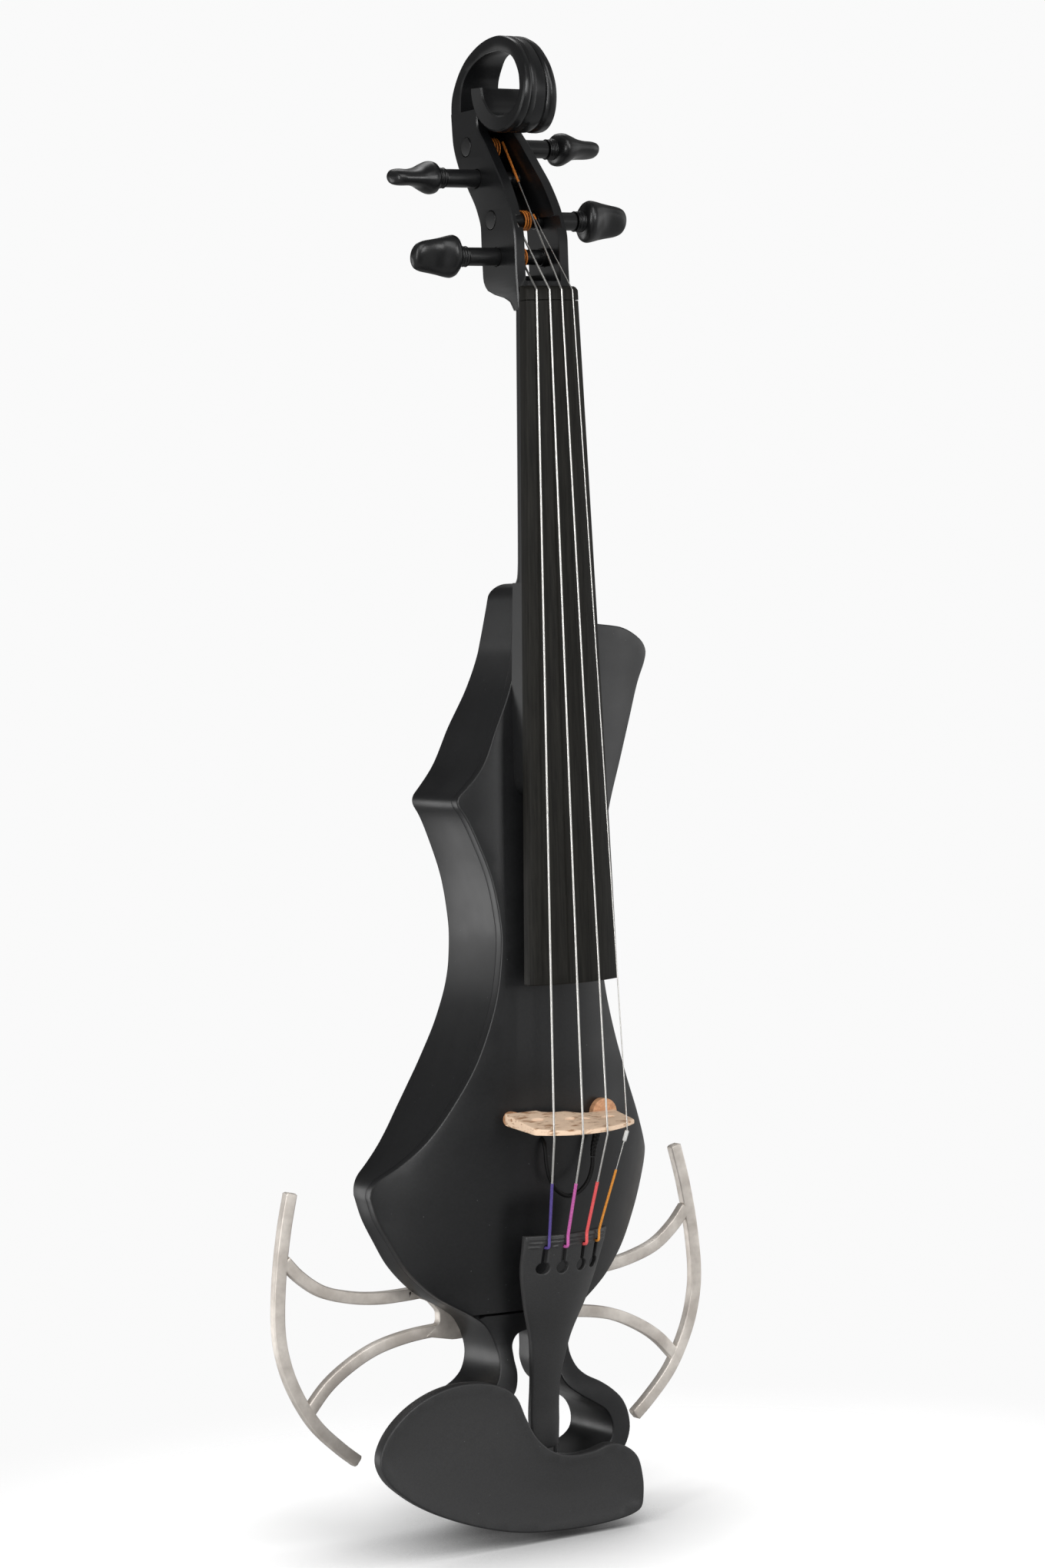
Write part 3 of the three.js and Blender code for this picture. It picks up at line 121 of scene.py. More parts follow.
def unit(vectors):
    """Vectors of length one that point the same way."""
    return vectors / np.linalg.norm(vectors, axis=-1, keepdims=True)


def full_turn(count):
    return 2 * np.pi * np.arange(count) / count


def cubic(t, start, leave, end, arrive):
    """The way from a start to an end, with the slopes at which it leaves and arrives."""
    return ((2 * t**3 - 3 * t**2 + 1) * start + (t**3 - 2 * t**2 + t) * leave
            + (3 * t**2 - 2 * t**3) * end + (t**3 - t**2) * arrive)


def bend(start, corner, end, shares):
    """Points of the curve that a corner pulls towards itself."""
    return [(1 - t) ** 2 * start + 2 * t * (1 - t) * corner + t**2 * end for t in shares]


def look_up(table, place, column=1):
    """A table's value at a place in its first column, smooth between its rows and never beyond them."""
    xs = np.array([row[0] for row in table], float)
    ys = np.array([row[column] for row in table], float)
    slopes = np.diff(ys) / np.diff(xs)
    inner = np.zeros(len(xs))
    same = slopes[:-1] * slopes[1:] > 0
    inner[1:-1][same] = 2 * slopes[:-1][same] * slopes[1:][same] / (slopes[:-1] + slopes[1:])[same]
    inner[0], inner[-1] = slopes[0], slopes[-1]
    place = np.clip(place, xs[0], xs[-1])
    k = np.clip(np.searchsorted(xs, place) - 1, 0, len(xs) - 2)
    width = xs[k + 1] - xs[k]
    return cubic((place - xs[k]) / width, ys[k], width * inner[k], ys[k + 1], width * inner[k + 1])


def sagitta(radius, x):
    """The rise of an arc over its chord at a distance from its middle."""
    return radius - np.sqrt(radius * radius - x * x)


def resample(line, step, closed=False):
    """Points at even distances along a line."""
    line = np.asarray(line, float)
    if closed:
        line = np.vstack([line, line[:1]])
    travel = np.concatenate([[0], np.cumsum(np.linalg.norm(np.diff(line, axis=0), axis=1))])
    wanted = np.linspace(0, travel[-1], max(3, round(travel[-1] / step)) + 1)
    even = np.column_stack([np.interp(wanted, travel, column) for column in line.T])
    return even[:-1] if closed else even


def curve(points, step, closed=False):
    """A smooth line through points, with a point about every step."""
    points = np.asarray(points, float)
    if closed:
        padded = points[[i % len(points) for i in range(-1, len(points) + 2)]]
    else:
        padded = np.vstack([2 * points[0] - points[1], points, 2 * points[-1] - points[-2]])
    fine = []
    for p0, p1, p2, p3 in zip(padded, padded[1:], padded[2:], padded[3:]):
        pairs = ((p0, p1), (p1, p2), (p2, p3))
        d1, d2, d3 = (max(np.linalg.norm(b - a) ** 0.5, 1e-4) for a, b in pairs)
        leave = p2 - p1 + d2 * ((p1 - p0) / d1 - (p2 - p0) / (d1 + d2))
        arrive = p2 - p1 + d2 * ((p3 - p2) / d3 - (p3 - p1) / (d2 + d3))
        fine.append(cubic(np.linspace(0, 1, 13)[:-1, None], p1, leave, p2, arrive))
    return resample(np.vstack(fine + ([] if closed else [points[-1:]])), step, closed)


def turned_left(loop):
    """A closed outline in anticlockwise order."""
    x, y = loop.T
    area = np.sum(x * np.roll(y, -1) - y * np.roll(x, -1))
    return loop if area > 0 else loop[::-1]


def leftward(run):
    return np.column_stack([-run[:, 1], run[:, 0]])


def inset(loop, distance):
    """An outline moved to its left by a distance."""
    return loop + distance * leftward(unit(np.roll(loop, -1, axis=0) - np.roll(loop, 1, axis=0)))


def edges_of(loop):
    """The pairs of neighbouring points of a closed outline."""
    return zip(loop, np.roll(loop, -1, axis=0))


def inside(points, loops):
    """Which points lie within the first outline and outside the others."""
    px, py = points.T
    hits = np.zeros(len(px), int)
    for loop in loops:
        for (x0, y0), (x1, y1) in edges_of(loop):
            if y0 != y1:
                hits += ((y0 > py) != (y1 > py)) & (px < x0 + (py - y0) * (x1 - x0) / (y1 - y0))
    return hits % 2 == 1


def fill(loops, spacing, extra):
    """Triangles that fill the first outline but not the others, with even points between them."""
    flat = np.vstack(loops)
    low, high = flat.min(0), flat.max(0)
    columns, rows = np.arange(low[0], high[0], spacing), np.arange(low[1], high[1], spacing * 0.866)
    grid = [(x + spacing / 2 * (k % 2), y) for k, y in enumerate(rows) for x in columns]
    grid = np.array(grid + list(extra))
    grid = grid[inside(grid, loops)]
    if len(grid):
        near = np.min(np.linalg.norm(grid[:, None] - flat[None], axis=2), axis=1)
        grid = grid[near > 0.45 * spacing]
    edges, start = [], 0
    for loop in loops:
        edges += [(start + i, start + (i + 1) % len(loop)) for i in range(len(loop))]
        start += len(loop)
    points = [Vector(p) for p in np.vstack([flat, grid])]
    out, _, faces, _, _, _ = geometry.delaunay_2d_cdt(points, edges, [], 0, 1e-7)
    out = np.array(out)
    kept = inside(np.array([out[list(f)].mean(0) for f in faces]), loops)
    return out, [list(f) for f, keep in zip(faces, kept) if keep]


def circle(x, z, radius, sides=32):
    return np.column_stack([x + radius * np.cos(full_turn(sides)), z + radius * np.sin(full_turn(sides))])


def rectangle(x0, x1, z0, z1, corner):
    """A rectangle with round corners."""
    loop = []
    corners = ((x1 - corner, z1 - corner), (x0 + corner, z1 - corner), (x0 + corner, z0 + corner),
               (x1 - corner, z0 + corner))
    for quarter, (x, z) in enumerate(corners):
        for degrees in range(90 * quarter, 90 * quarter + 91, 15):
            angle = math.radians(degrees)
            loop.append((x + corner * math.cos(angle), z + corner * math.sin(angle)))
    return np.array(loop)


def rounded(profile, radius):
    """A profile whose inner corners are rounded."""
    profile = [np.asarray(p, float) for p in profile]
    result = [profile[0]]
    for before, corner, after in zip(profile, profile[1:], profile[2:]):
        back, on = before - corner, after - corner
        reach = min(radius, 0.45 * np.linalg.norm(back), 0.45 * np.linalg.norm(on))
        result += bend(corner + reach * unit(back), corner, corner + reach * unit(on), np.linspace(0, 1, 5))
    return result + [profile[-1]]


# Shapes, each as points and faces

def box(x0, x1, y0, y1, z0, z1):
    corners = [(x, y, z) for z in (z0, z1) for x, y in ((x0, y0), (x1, y0), (x1, y1), (x0, y1))]
    return corners, [[0, 3, 2, 1], [4, 5, 6, 7], [0, 1, 5, 4], [1, 2, 6, 5], [2, 3, 7, 6], [3, 0, 4, 7]]


def skin(rings, capped=True):
    """A surface through closed rings of equally many points, with a fan over each end."""
    count = len(rings[0])
    points = [tuple(p) for ring in rings for p in ring]
    last = len(points) - count
    pairs = [(i, (i + 1) % count) for i in range(count)]
    faces = [[a + i, a + j, a + count + j, a + count + i] for a in range(0, last, count) for i, j in pairs]
    if capped:
        for ring, start in ((rings[0], 0), (rings[-1], last)):
            faces += [[start + i, start + j, len(points)] for i, j in pairs]
            points.append(tuple(np.mean(ring, axis=0)))
    return points, faces


def tube(line, radii, sides):
    """A round bar that follows a line, with a radius for each point."""
    line = np.asarray(line, float)
    tangents = unit(np.gradient(line, axis=0))
    across = np.cross((1, 0, 0), tangents[0])
    if np.linalg.norm(across) < 0.5:
        across = np.cross((0, 1, 0), tangents[0])
    angles = full_turn(sides)[:, None]
    rings = []
    for point, tangent, radius in zip(line, tangents, np.broadcast_to(radii, len(line))):
        across = unit(across - np.dot(across, tangent) * tangent)
        up = np.cross(tangent, across)
        rings.append(point + radius * (np.cos(angles) * across + np.sin(angles) * up))
    return skin(rings)


def turned(axis, profile, centre, sides=48, side=1, capped=True):
    """A solid of revolution about an axis through a point, from pairs of radius and place on the axis."""
    angles = full_turn(sides)
    rings = []
    for radius, height in profile:
        a, b, h = radius * np.cos(angles), radius * np.sin(angles), np.full(sides, float(side * height))
        rings.append(np.column_stack({"x": (h, a, b), "y": (a, h, b), "z": (a, b, h)}[axis]) + centre)
    return skin(rings, capped)


def rod(axis, radius, start, end, centre, sides=48, soft=0.0):
    """A round bar along an axis, with rounded ends if asked for."""
    profile = [(0, start), (radius, start), (radius, end), (0, end)]
    return turned(axis, rounded(profile, soft) if soft else profile, centre, sides)


def front_place(x, z, y):
    """Where a point of an outline drawn from the front lies, at a depth."""
    return x, y, z


def surface(depth):
    """A depth that is the same everywhere, or changes from place to place."""
    return depth if callable(depth) else lambda u, v: np.full(len(u), float(depth))


def slab(outer, holes, near, far, rounds, spacing, extra=(), place=front_place):
    """A plate cut to an outline, with rounded rims, between a near and a far surface."""
    near, far = surface(near), surface(far)
    loops = [turned_left(outer)] + [turned_left(hole)[::-1] for hole in holes]
    quarter = np.radians([90, 67, 45, 22, 0])
    points, faces, rims = [], [], []

    def put(more, around):
        faces.extend([len(points) + i for i in face] for face in around)
        points.extend(more)

    for loop in loops:
        levels = []
        for angle in quarter:
            flat = inset(loop, rounds[0] * (1 - math.cos(angle)))
            levels.append((flat, near(*flat.T) + rounds[0] * (1 - math.sin(angle))))
        for angle in quarter[::-1]:
            flat = inset(loop, rounds[1] * (1 - math.cos(angle)))
            levels.append((flat, far(*flat.T) - rounds[1] * (1 - math.sin(angle))))
        put(*skin([[place(*uv, w) for uv, w in zip(flat, depth)] for flat, depth in levels], capped=False))
        rims.append((levels[0][0], levels[-1][0]))
    for rim, depth, turn in zip(zip(*rims), (near, far), (1, -1)):
        flat, triangles = fill(rim, spacing, extra)
        put([place(*uv, w) for uv, w in zip(flat, depth(*flat.T))], [face[::turn] for face in triangles])
    return points, faces


# Materials

GRAIN_DEPTH = 0.00005
SPECK_SIZE = 0.035
SPECK_DENSITY = 190


def feed(tree, made, inputs):
    """Gives a node's inputs their values, or joins them to the outputs of other nodes."""
    for key, value in inputs.items():
        if isinstance(value, bpy.types.NodeSocket):
            tree.links.new(value, made.inputs[key])
        else:
            made.inputs[key].default_value = value


def add(tree, kind, output, inputs, **settings):
    """One output of a new node."""
    made = tree.nodes.new(kind)
    for key, value in settings.items():
        setattr(made, key, value)
    feed(tree, made, inputs)
    return made.outputs[output]


def ramp(tree, share, stops):
    """The colour between stops, each a place from 0 to 1 and a colour."""
    made = tree.nodes.new("ShaderNodeValToRGB")
    feed(tree, made, {"Fac": share})
    elements = made.color_ramp.elements
    for element, (place, colour) in ((elements[0], stops[0]), (elements[1], stops[-1])):
        element.position = place
        element.color = (*colour, 1)
    for place, colour in stops[1:-1]:
        elements.new(place).color = (*colour, 1)
    return made.outputs["Color"]


def finish(name, dark, light, roughness, grain=400, stretch=(1, 1, 1), bump=0.1, metallic=0.0, spread=0.06,
           specks=None, contrast=(0.35, 0.65), **shader):
    """A surface whose colour, gloss and relief vary with a fine grain, with light specks if asked for."""
    material = bpy.data.materials.new(name)
    material.use_nodes = True
    tree = material.node_tree
    place = add(tree, "ShaderNodeTexCoord", "Object", {})
    scaled = add(tree, "ShaderNodeMapping", "Vector", {"Vector": place, "Scale": stretch})
    noise = add(tree, "ShaderNodeTexNoise", "Fac",
                {"Vector": scaled, "Scale": grain, "Detail": 4.0, "Roughness": 0.6})
    colour = ramp(tree, noise, list(zip(contrast, (dark, light))))
    if specks:
        cells = add(tree, "ShaderNodeTexVoronoi", "Distance", {"Vector": place, "Scale": SPECK_DENSITY})
        dots = add(tree, "ShaderNodeMath", "Value", {0: cells, 1: SPECK_SIZE}, operation="LESS_THAN")
        colour = add(tree, "ShaderNodeMix", 2, {0: dots, 6: colour, 7: (*specks, 1)}, data_type="RGBA")
    broad = add(tree, "ShaderNodeTexNoise", "Fac", {"Vector": scaled, "Scale": grain / 8, "Detail": 3.0})
    gloss = add(tree, "ShaderNodeMapRange", "Result",
                {"Value": broad, "To Min": roughness - spread, "To Max": roughness + spread})
    relief = add(tree, "ShaderNodeBump", "Normal",
                 {"Height": noise, "Strength": bump, "Distance": GRAIN_DEPTH})
    feed(tree, tree.nodes["Principled BSDF"],
         {"Metallic": metallic, "Base Color": colour, "Roughness": gloss, "Normal": relief,
          **{key.replace("_", " "): value for key, value in shader.items()}})
    return material


def silk(name, dark, light, stretch=(1, 1, 3)):
    """Thread wound round a string."""
    return finish(f"silk_{name}", dark, light, 0.6, grain=2400, stretch=stretch, bump=0.5)


LACQUER = finish("satin_black_lacquer", (0.0065, 0.0067, 0.0072), (0.0095, 0.0098, 0.0105), 0.36, grain=900,
                 bump=0.03, specks=(0.09, 0.092, 0.095))
HEAD_LACQUER = finish("head_black_lacquer", (0.0045, 0.0047, 0.0051), (0.0065, 0.0068, 0.0073), 0.29,
                      grain=900, bump=0.03, spread=0.04)
MOULDED = finish("moulded_black", (0.025, 0.025, 0.0253), (0.032, 0.032, 0.0327), 0.42, grain=1500,
                 bump=0.12, specks=(0.1, 0.102, 0.105))
PEG_BLACK = finish("peg_black", (0.006, 0.0061, 0.0065), (0.009, 0.0092, 0.0096), 0.32, grain=1500,
                   bump=0.02)
COVER_BLACK = finish("cover_black", (0.01, 0.01, 0.0104), (0.015, 0.015, 0.0156), 0.5, grain=2200, bump=0.35)
EBONY = finish("board_ebony", (0.006, 0.0056, 0.0046), (0.019, 0.018, 0.015), 0.55, grain=900,
               stretch=(1, 1, 0.06), bump=0.2, contrast=(0.3, 0.75), Specular_IOR_Level=0.16)
ALUMINIUM = finish("brushed_aluminium", (0.62, 0.565, 0.51), (0.93, 0.87, 0.8), 0.48, grain=60,
                   metallic=0.6, spread=0.1, contrast=(0.4, 0.66))
STEEL = finish("plain_steel", (0.5, 0.49, 0.47), (0.66, 0.65, 0.62), 0.28, grain=1200, metallic=1.0)
WOUND = finish("wound_steel", (0.62, 0.61, 0.58), (0.8, 0.79, 0.76), 0.33, grain=2500, stretch=(0.2, 0.2, 3),
               bump=0.4, metallic=1.0)
MAPLE = finish("flecked_maple", (0.46, 0.24, 0.12), (0.97, 0.72, 0.52), 0.55, grain=420,
               stretch=(0.35, 0.9, 1.8), bump=0.15, contrast=(0.35, 0.47))
DISC_WOOD = finish("disc_wood", (0.5, 0.24, 0.12), (0.72, 0.4, 0.22), 0.55, grain=900, stretch=(1, 0.3, 1),
                   bump=0.15)
RUBBER = finish("cable_black", (0.0012, 0.0012, 0.0012), (0.002, 0.002, 0.002), 0.5, grain=2500, bump=0.15,
                Specular_IOR_Level=0.2)
BOARD_GREEN = finish("board_green", (0.02, 0.08, 0.03), (0.035, 0.12, 0.05), 0.4, grain=700, bump=0.3)
CELL = finish("cell_case", (0.2, 0.2, 0.21), (0.28, 0.28, 0.29), 0.35, grain=500, bump=0.05, metallic=0.4)
CLEAR = finish("clear_tube", (0.8, 0.8, 0.78), (0.9, 0.9, 0.88), 0.15, grain=1200, bump=0.02, spread=0.03,
               Transmission_Weight=0.25, IOR=1.45)
SILKS = {
    "g": silk("indigo", (0.05, 0.035, 0.2), (0.14, 0.09, 0.36)),
    "d": silk("magenta", (0.42, 0.06, 0.3), (0.72, 0.18, 0.5)),
    "a": silk("coral", (0.7, 0.05, 0.06), (0.95, 0.16, 0.16)),
    "e": silk("amber", (0.6, 0.2, 0.02), (0.9, 0.38, 0.05)),
}
PEG_SILK = silk("orange", (0.5, 0.13, 0.015), (0.85, 0.3, 0.05), (1, 1, 1))


# Pieces

def shade(obj, angle):
    """Smooth faces, with sharp edges where they turn by more than an angle."""
    obj.data.polygons.foreach_set("use_smooth", [True] * len(obj.data.polygons))
    obj.data.set_sharp_from_angle(angle=math.radians(angle))


def mesh_object(name, shape, smooth=32):
    """A clean mesh in metres from points in millimetres and faces."""
    points, faces = shape
    mesh = bpy.data.meshes.new(name)
    mesh.from_pydata([tuple(MM * c for c in p) for p in points], [], faces)
    work = bmesh.new()
    work.from_mesh(mesh)
    bmesh.ops.remove_doubles(work, verts=work.verts, dist=2e-6)
    bmesh.ops.dissolve_degenerate(work, edges=work.edges, dist=1e-6)
    bmesh.ops.recalc_face_normals(work, faces=work.faces)
    work.to_mesh(mesh)
    work.free()
    obj = bpy.data.objects.new(name, mesh)
    bpy.context.scene.collection.objects.link(obj)
    shade(obj, smooth)
    return obj


def piece(node, shape, material, smooth=32, body="violin", part="shape"):
    """A visible piece of the object, which stands for a solid and moves with a body."""
    obj = mesh_object(f"{node}_{part}", shape, smooth)
    obj.data.materials.append(material)
    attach(obj, body)
    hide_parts(node)
    return obj


def combine(obj, operation, *shapes, smooth=30):
    """Joins shapes to an object or cuts them away."""
    for shape in shapes:
        tool = mesh_object("tool", shape)
        modifier = obj.modifiers.new("combine", "BOOLEAN")
        modifier.operation = operation
        modifier.solver = "EXACT"
        modifier.object = tool
        evaluated = obj.evaluated_get(bpy.context.evaluated_depsgraph_get())
        mesh = bpy.data.meshes.new_from_object(evaluated)
        obj.modifiers.clear()
        obj.data = mesh
        bpy.data.objects.remove(tool)
    shade(obj, smooth)


def span(node):
    """The lowest and highest x, y and z of a solid, in millimetres."""
    return [(low / MM, high / MM) for low, high in zip(*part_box(node))]


def middle(node):
    return [(low + high) / 2 for low, high in span(node)]


# Fingerboard and nut

NUT_SAG = sagitta(BOARD_RADIUS, NUT_WIDTH / 2)
END_SAG = sagitta(BOARD_RADIUS, BOARD_END_WIDTH / 2)
CROWN = -BOARD_EDGE - NUT_SAG


def board_half(z):
    return (NUT_WIDTH + (BOARD_END_WIDTH - NUT_WIDTH) * -z / BOARD_LENGTH) / 2


def board_under(z):
    return (END_SAG - NUT_SAG) * -z / BOARD_LENGTH


def board_ring(z, shrink=0.0, lean=0.0, edge=0.7):
    """A closed section of the board: the arched top, rounded edges and the glued face."""
    half, crown = board_half(z) - shrink, CROWN + lean + shrink
    top = [(x, crown + sagitta(BOARD_RADIUS, x), z) for x in np.linspace(-half + edge, half - edge, 25)]
    shoulder = crown + sagitta(BOARD_RADIUS, half)
    corner = [(half - edge * (1 - math.sin(a)), shoulder + edge * (1 - math.cos(a)))
              for a in np.radians([30, 60, 90])]
    under = board_under(z) - min(shrink, 0.3)
    back = [(half - 0.2, under), (0, under), (-half + 0.2, under)]
    mirrored = [(-x, y) for x, y in corner[::-1]]
    return top + [(x, y, z) for x, y in corner + back + mirrored]


def fingerboard():
    start, end = -NUT_THICKNESS, -BOARD_LENGTH
    stations = [(start, 0.0)] + [(z, 0.0) for z in np.linspace(start - 4, end + 4, 24)]
    stations += [(end + 0.6, 0.0), (end + 0.3, 0.08), (end + 0.1, 0.25), (end, 0.5)]
    piece("fingerboard", skin([board_ring(z, shrink) for z, shrink in stations]), EBONY, 40)


def nut():
    rows = [(0, 0), (0.5, 0.55), (0.8, 1), (1, 1.6)]
    rings = [board_ring(z * NUT_CREST, 0, lean * NUT_CREST, 0.4) for z, lean in rows]
    piece("nut", skin([board_ring(CLEARANCE - NUT_THICKNESS, edge=0.4)] + rings), EBONY, 60)


# Body, as shares of its length from the top, half width and depth

WAIST_SHARES = [(0.386, 0.354), (0.435, 0.382), (0.468, 0.423), (0.515, 0.512), (0.559, 0.631),
                (0.606, 0.792), (0.631, 0.908), (0.647, 1)]
BASS_UPPER_SHARES = [(0, 0.162), (0.011, 0.177), (0.025, 0.185), (0.061, 0.197), (0.077, 0.203),
                     (0.113, 0.243), (0.157, 0.338), (0.196, 0.425), (0.22, 0.531), (0.232, 0.6)]
BASS_WAIST_SHARES = [(0.232, 0.6), (0.248, 0.538), (0.281, 0.462), (0.32, 0.394),
                     (0.364, 0.358)] + WAIST_SHARES
TREBLE_SHARES = [(0, 0.162), (0.025, 0.192), (0.041, 0.262), (0.047, 0.385), (0.05, 0.523), (0.053, 0.631),
                 (0.062, 0.769), (0.072, 0.866), (0.081, 0.902), (0.091, 0.892), (0.113, 0.82),
                 (0.157, 0.715), (0.196, 0.623), (0.256, 0.485), (0.32, 0.403),
                 (0.364, 0.366)] + WAIST_SHARES
LOWER_SHARES = [(0.664, 1), (0.691, 0.954), (0.719, 0.877), (0.744, 0.8), (0.763, 0.715), (0.78, 0.615),
                (0.791, 0.523), (0.803, 0.415), (0.815, 0.331), (0.835, 0.274), (0.854, 0.255),
                (0.873, 0.285), (0.883, 0.338), (0.893, 0.438), (0.904, 0.523), (0.917, 0.592),
                (0.934, 0.631), (0.953, 0.635), (0.972, 0.585), (0.986, 0.477), (0.994, 0.338), (1, 0.123)]
FRONT_SHARES = [(0, 0.133), (0.077, 0.175), (0.129, 0.2), (0.231, 0.208), (0.386, 0.192), (0.515, 0.217),
                (0.559, 0.242), (0.592, 0.26), (0.647, 0.333), (0.697, 0.433), (0.744, 0.533), (0.78, 0.608),
                (0.803, 0.642), (0.835, 0.688), (0.854, 0.665), (0.904, 0.588), (1, 0.588)]
BACK_SHARES = [(0, 0.517), (0.011, 0.577), (0.025, 0.6), (0.077, 0.708), (0.118, 0.808), (0.163, 0.9),
               (0.212, 0.95), (0.41, 0.95), (0.474, 1.017), (0.518, 1.092), (0.559, 1.14), (0.58, 1.15),
               (1, 1.15)]
ARCH_SHARES = [(0, 0.6), (0.1, 0.7), (0.196, 0.82), (0.256, 0.9), (0.35, 1), (0.803, 1), (0.835, 0)]
PLATE_END_SHARE = 0.804
PLATE_STEP = 0.3
RING_OPENING_SHARES = [(0.092, 0.828), (0.142, 0.839), (0.148, 0.854), (0.145, 0.871), (0.185, 0.89),
                       (0.277, 0.904), (0.377, 0.915), (0.469, 0.927), (0.508, 0.944), (0.492, 0.959),
                       (0.4, 0.97), (0.215, 0.975)]


def body_z(share):
    return -BODY_TOP - share * BODY_LENGTH


def body_front(x, z):
    share = (-z - BODY_TOP) / BODY_LENGTH
    return BODY_DEPTH * look_up(FRONT_SHARES, share) + look_up(ARCH_SHARES, share) * sagitta(ARCH_RADIUS, x)


def body_back(z):
    return BODY_DEPTH * look_up(BACK_SHARES, (-z - BODY_TOP) / BODY_LENGTH)


def side_line(table, side):
    return [(side * half * BODY_HALF, body_z(share)) for share, half in table]


def body_outline():
    """The closed outline of the body, smooth between its pointed corners."""
    upper, waist = side_line(BASS_UPPER_SHARES, -1), side_line(BASS_WAIST_SHARES, -1)
    bottom = side_line(LOWER_SHARES, -1) + side_line(LOWER_SHARES, 1)[::-1]
    treble = side_line(TREBLE_SHARES, 1)[::-1]
    parts = [upper, waist, [waist[-1], bottom[0]], bottom, [bottom[-1], treble[0]], treble,
             [treble[-1], upper[0]]]
    return np.vstack([curve(part, 1.6)[:-1] for part in parts])


def soft_corners(loop, radius, angle=35):
    """An outline whose sharp corners are rounded."""
    back, on = (loop - np.roll(loop, 1, axis=0)).T, (np.roll(loop, -1, axis=0) - loop).T
    turn = np.arctan2(back[0] * on[1] - back[1] * on[0], back[0] * on[0] + back[1] * on[1])
    count = len(loop)
    arcs, dropped = {}, set()
    for i in np.flatnonzero(np.abs(np.degrees(turn)) > angle):
        near, far = i, i
        while np.linalg.norm(loop[near % count] - loop[i]) < radius:
            near -= 1
        while np.linalg.norm(loop[far % count] - loop[i]) < radius:
            far += 1
        arcs[near % count] = bend(loop[near % count], loop[i], loop[far % count], np.linspace(0.12, 0.88, 7))
        dropped |= {k % count for k in range(near + 1, far)}
    result = []
    for i in range(count):
        result += ([] if i in dropped else [loop[i]]) + arcs.get(i, [])
    return np.array(result)


def ring_opening():
    right = [(x * BODY_HALF, body_z(z)) for x, z in RING_OPENING_SHARES]
    return curve(right + [(-x, z) for x, z in right[::-1]], 1.2, closed=True)


def with_levels(loop, levels):
    """An outline with a point wherever it crosses a level."""
    result = []
    for (x0, z0), (x1, z1) in edges_of(loop):
        result.append((x0, z0))
        crossed = [level for level in levels if min(z0, z1) < level < max(z0, z1)]
        for level in sorted(crossed, key=lambda level: abs(level - z0)):
            result.append((x0 + (level - z0) / (z1 - z0) * (x1 - x0), level))
    return np.array(result)


def body():
    """The arched plate, and the ribs, block and ring behind and below it."""
    outline = soft_corners(turned_left(body_outline()), RIB_CORNER)
    level = body_z(PLATE_END_SHARE)

    def plate_back(x, z):
        return body_front(x, z) + PLATE_THICKNESS

    def core_front(x, z):
        return body_front(x, z) + np.where(z > level - PLATE_STEP / 2, PLATE_THICKNESS + 0.02, 0.0)

    def core_back(x, z):
        return body_back(z)

    plate = with_levels(outline, [level])
    shape = slab(plate[plate[:, 1] >= level], [], body_front, plate_back, (0.7, 0.02), 4.0)
    piece("top_plate", shape, LACQUER, 30)
    half = 0.4 * BODY_HALF
    rows = [(x, z) for z in (level + 0.01, level - PLATE_STEP) for x in np.arange(-half, half, 1.5)]
    shape = slab(with_levels(outline, [level, level - PLATE_STEP]), [ring_opening()], core_front, core_back,
                 (0.6, 2.2), 4.0, rows)
    core = piece("body_core", shape, LACQUER)
    combine(core, "DIFFERENCE", *pocket_cutters())


# Covers and controls on the back

COVER_THICKNESS = 4
COVER_LEFT = 40
COVER_RIGHT = 42
COVER_TOP = BODY_END - 151.5
COVER_HEIGHT = 61
COVER_RIM = 4
COVER_LEDGE = 7
COVER_SCREW = 2.6
ARM_SCREW = 3.2
BATTERY_DEPTH = 17.5
HINGE_BORE = 1.1
NOTCH_RADIUS = 2.2
GRIP_HALF = 9
GRIP_PITCH = 2.4
GRIP_HEIGHT = 0.35
KNOB_RADIUS = 6.2
KNOB_HOLE = 3.4
KNOB_BOSS = 3
KNOB_RIBS = 24
KNOB_RIB_DEPTH = 0.22
SPINDLE_RADIUS = 1.3
POINTER_HALF = 0.35
JACK_RADIUS = 5.5
JACK_BORE = 3.2
JACK_FLANGE = 7
JACK_NUT = 2
BACK_Y = body_back(body_z(1))
COVER_INNER = BACK_Y - COVER_THICKNESS
POCKET_FLOOR = COVER_INNER - BATTERY_DEPTH - 1


def pocket_cutters():
    """What is cut out of the back of the body: the cover's ledge, the well under it and the jack's hole."""
    gap = CLEARANCE
    bottom = -COVER_TOP - COVER_HEIGHT
    (x0, x1), _, _ = span("output_jack")
    _, y, z = middle("output_jack")
    return (box(-COVER_LEFT - gap, COVER_RIGHT + gap, COVER_INNER - gap, BACK_Y + 5, bottom - gap,
                -COVER_TOP + gap),
            box(-COVER_LEFT + COVER_LEDGE, COVER_RIGHT - COVER_LEDGE, POCKET_FLOOR, COVER_INNER,
                bottom + COVER_RIM + COVER_SCREW + 1, -COVER_TOP - COVER_RIM),
            rod("x", JACK_FLANGE + 0.4, x1 - JACK_NUT - gap, x1 + 40, (0, y, z)),
            rod("x", JACK_RADIUS + gap, x0, x1, (0, y, z)))


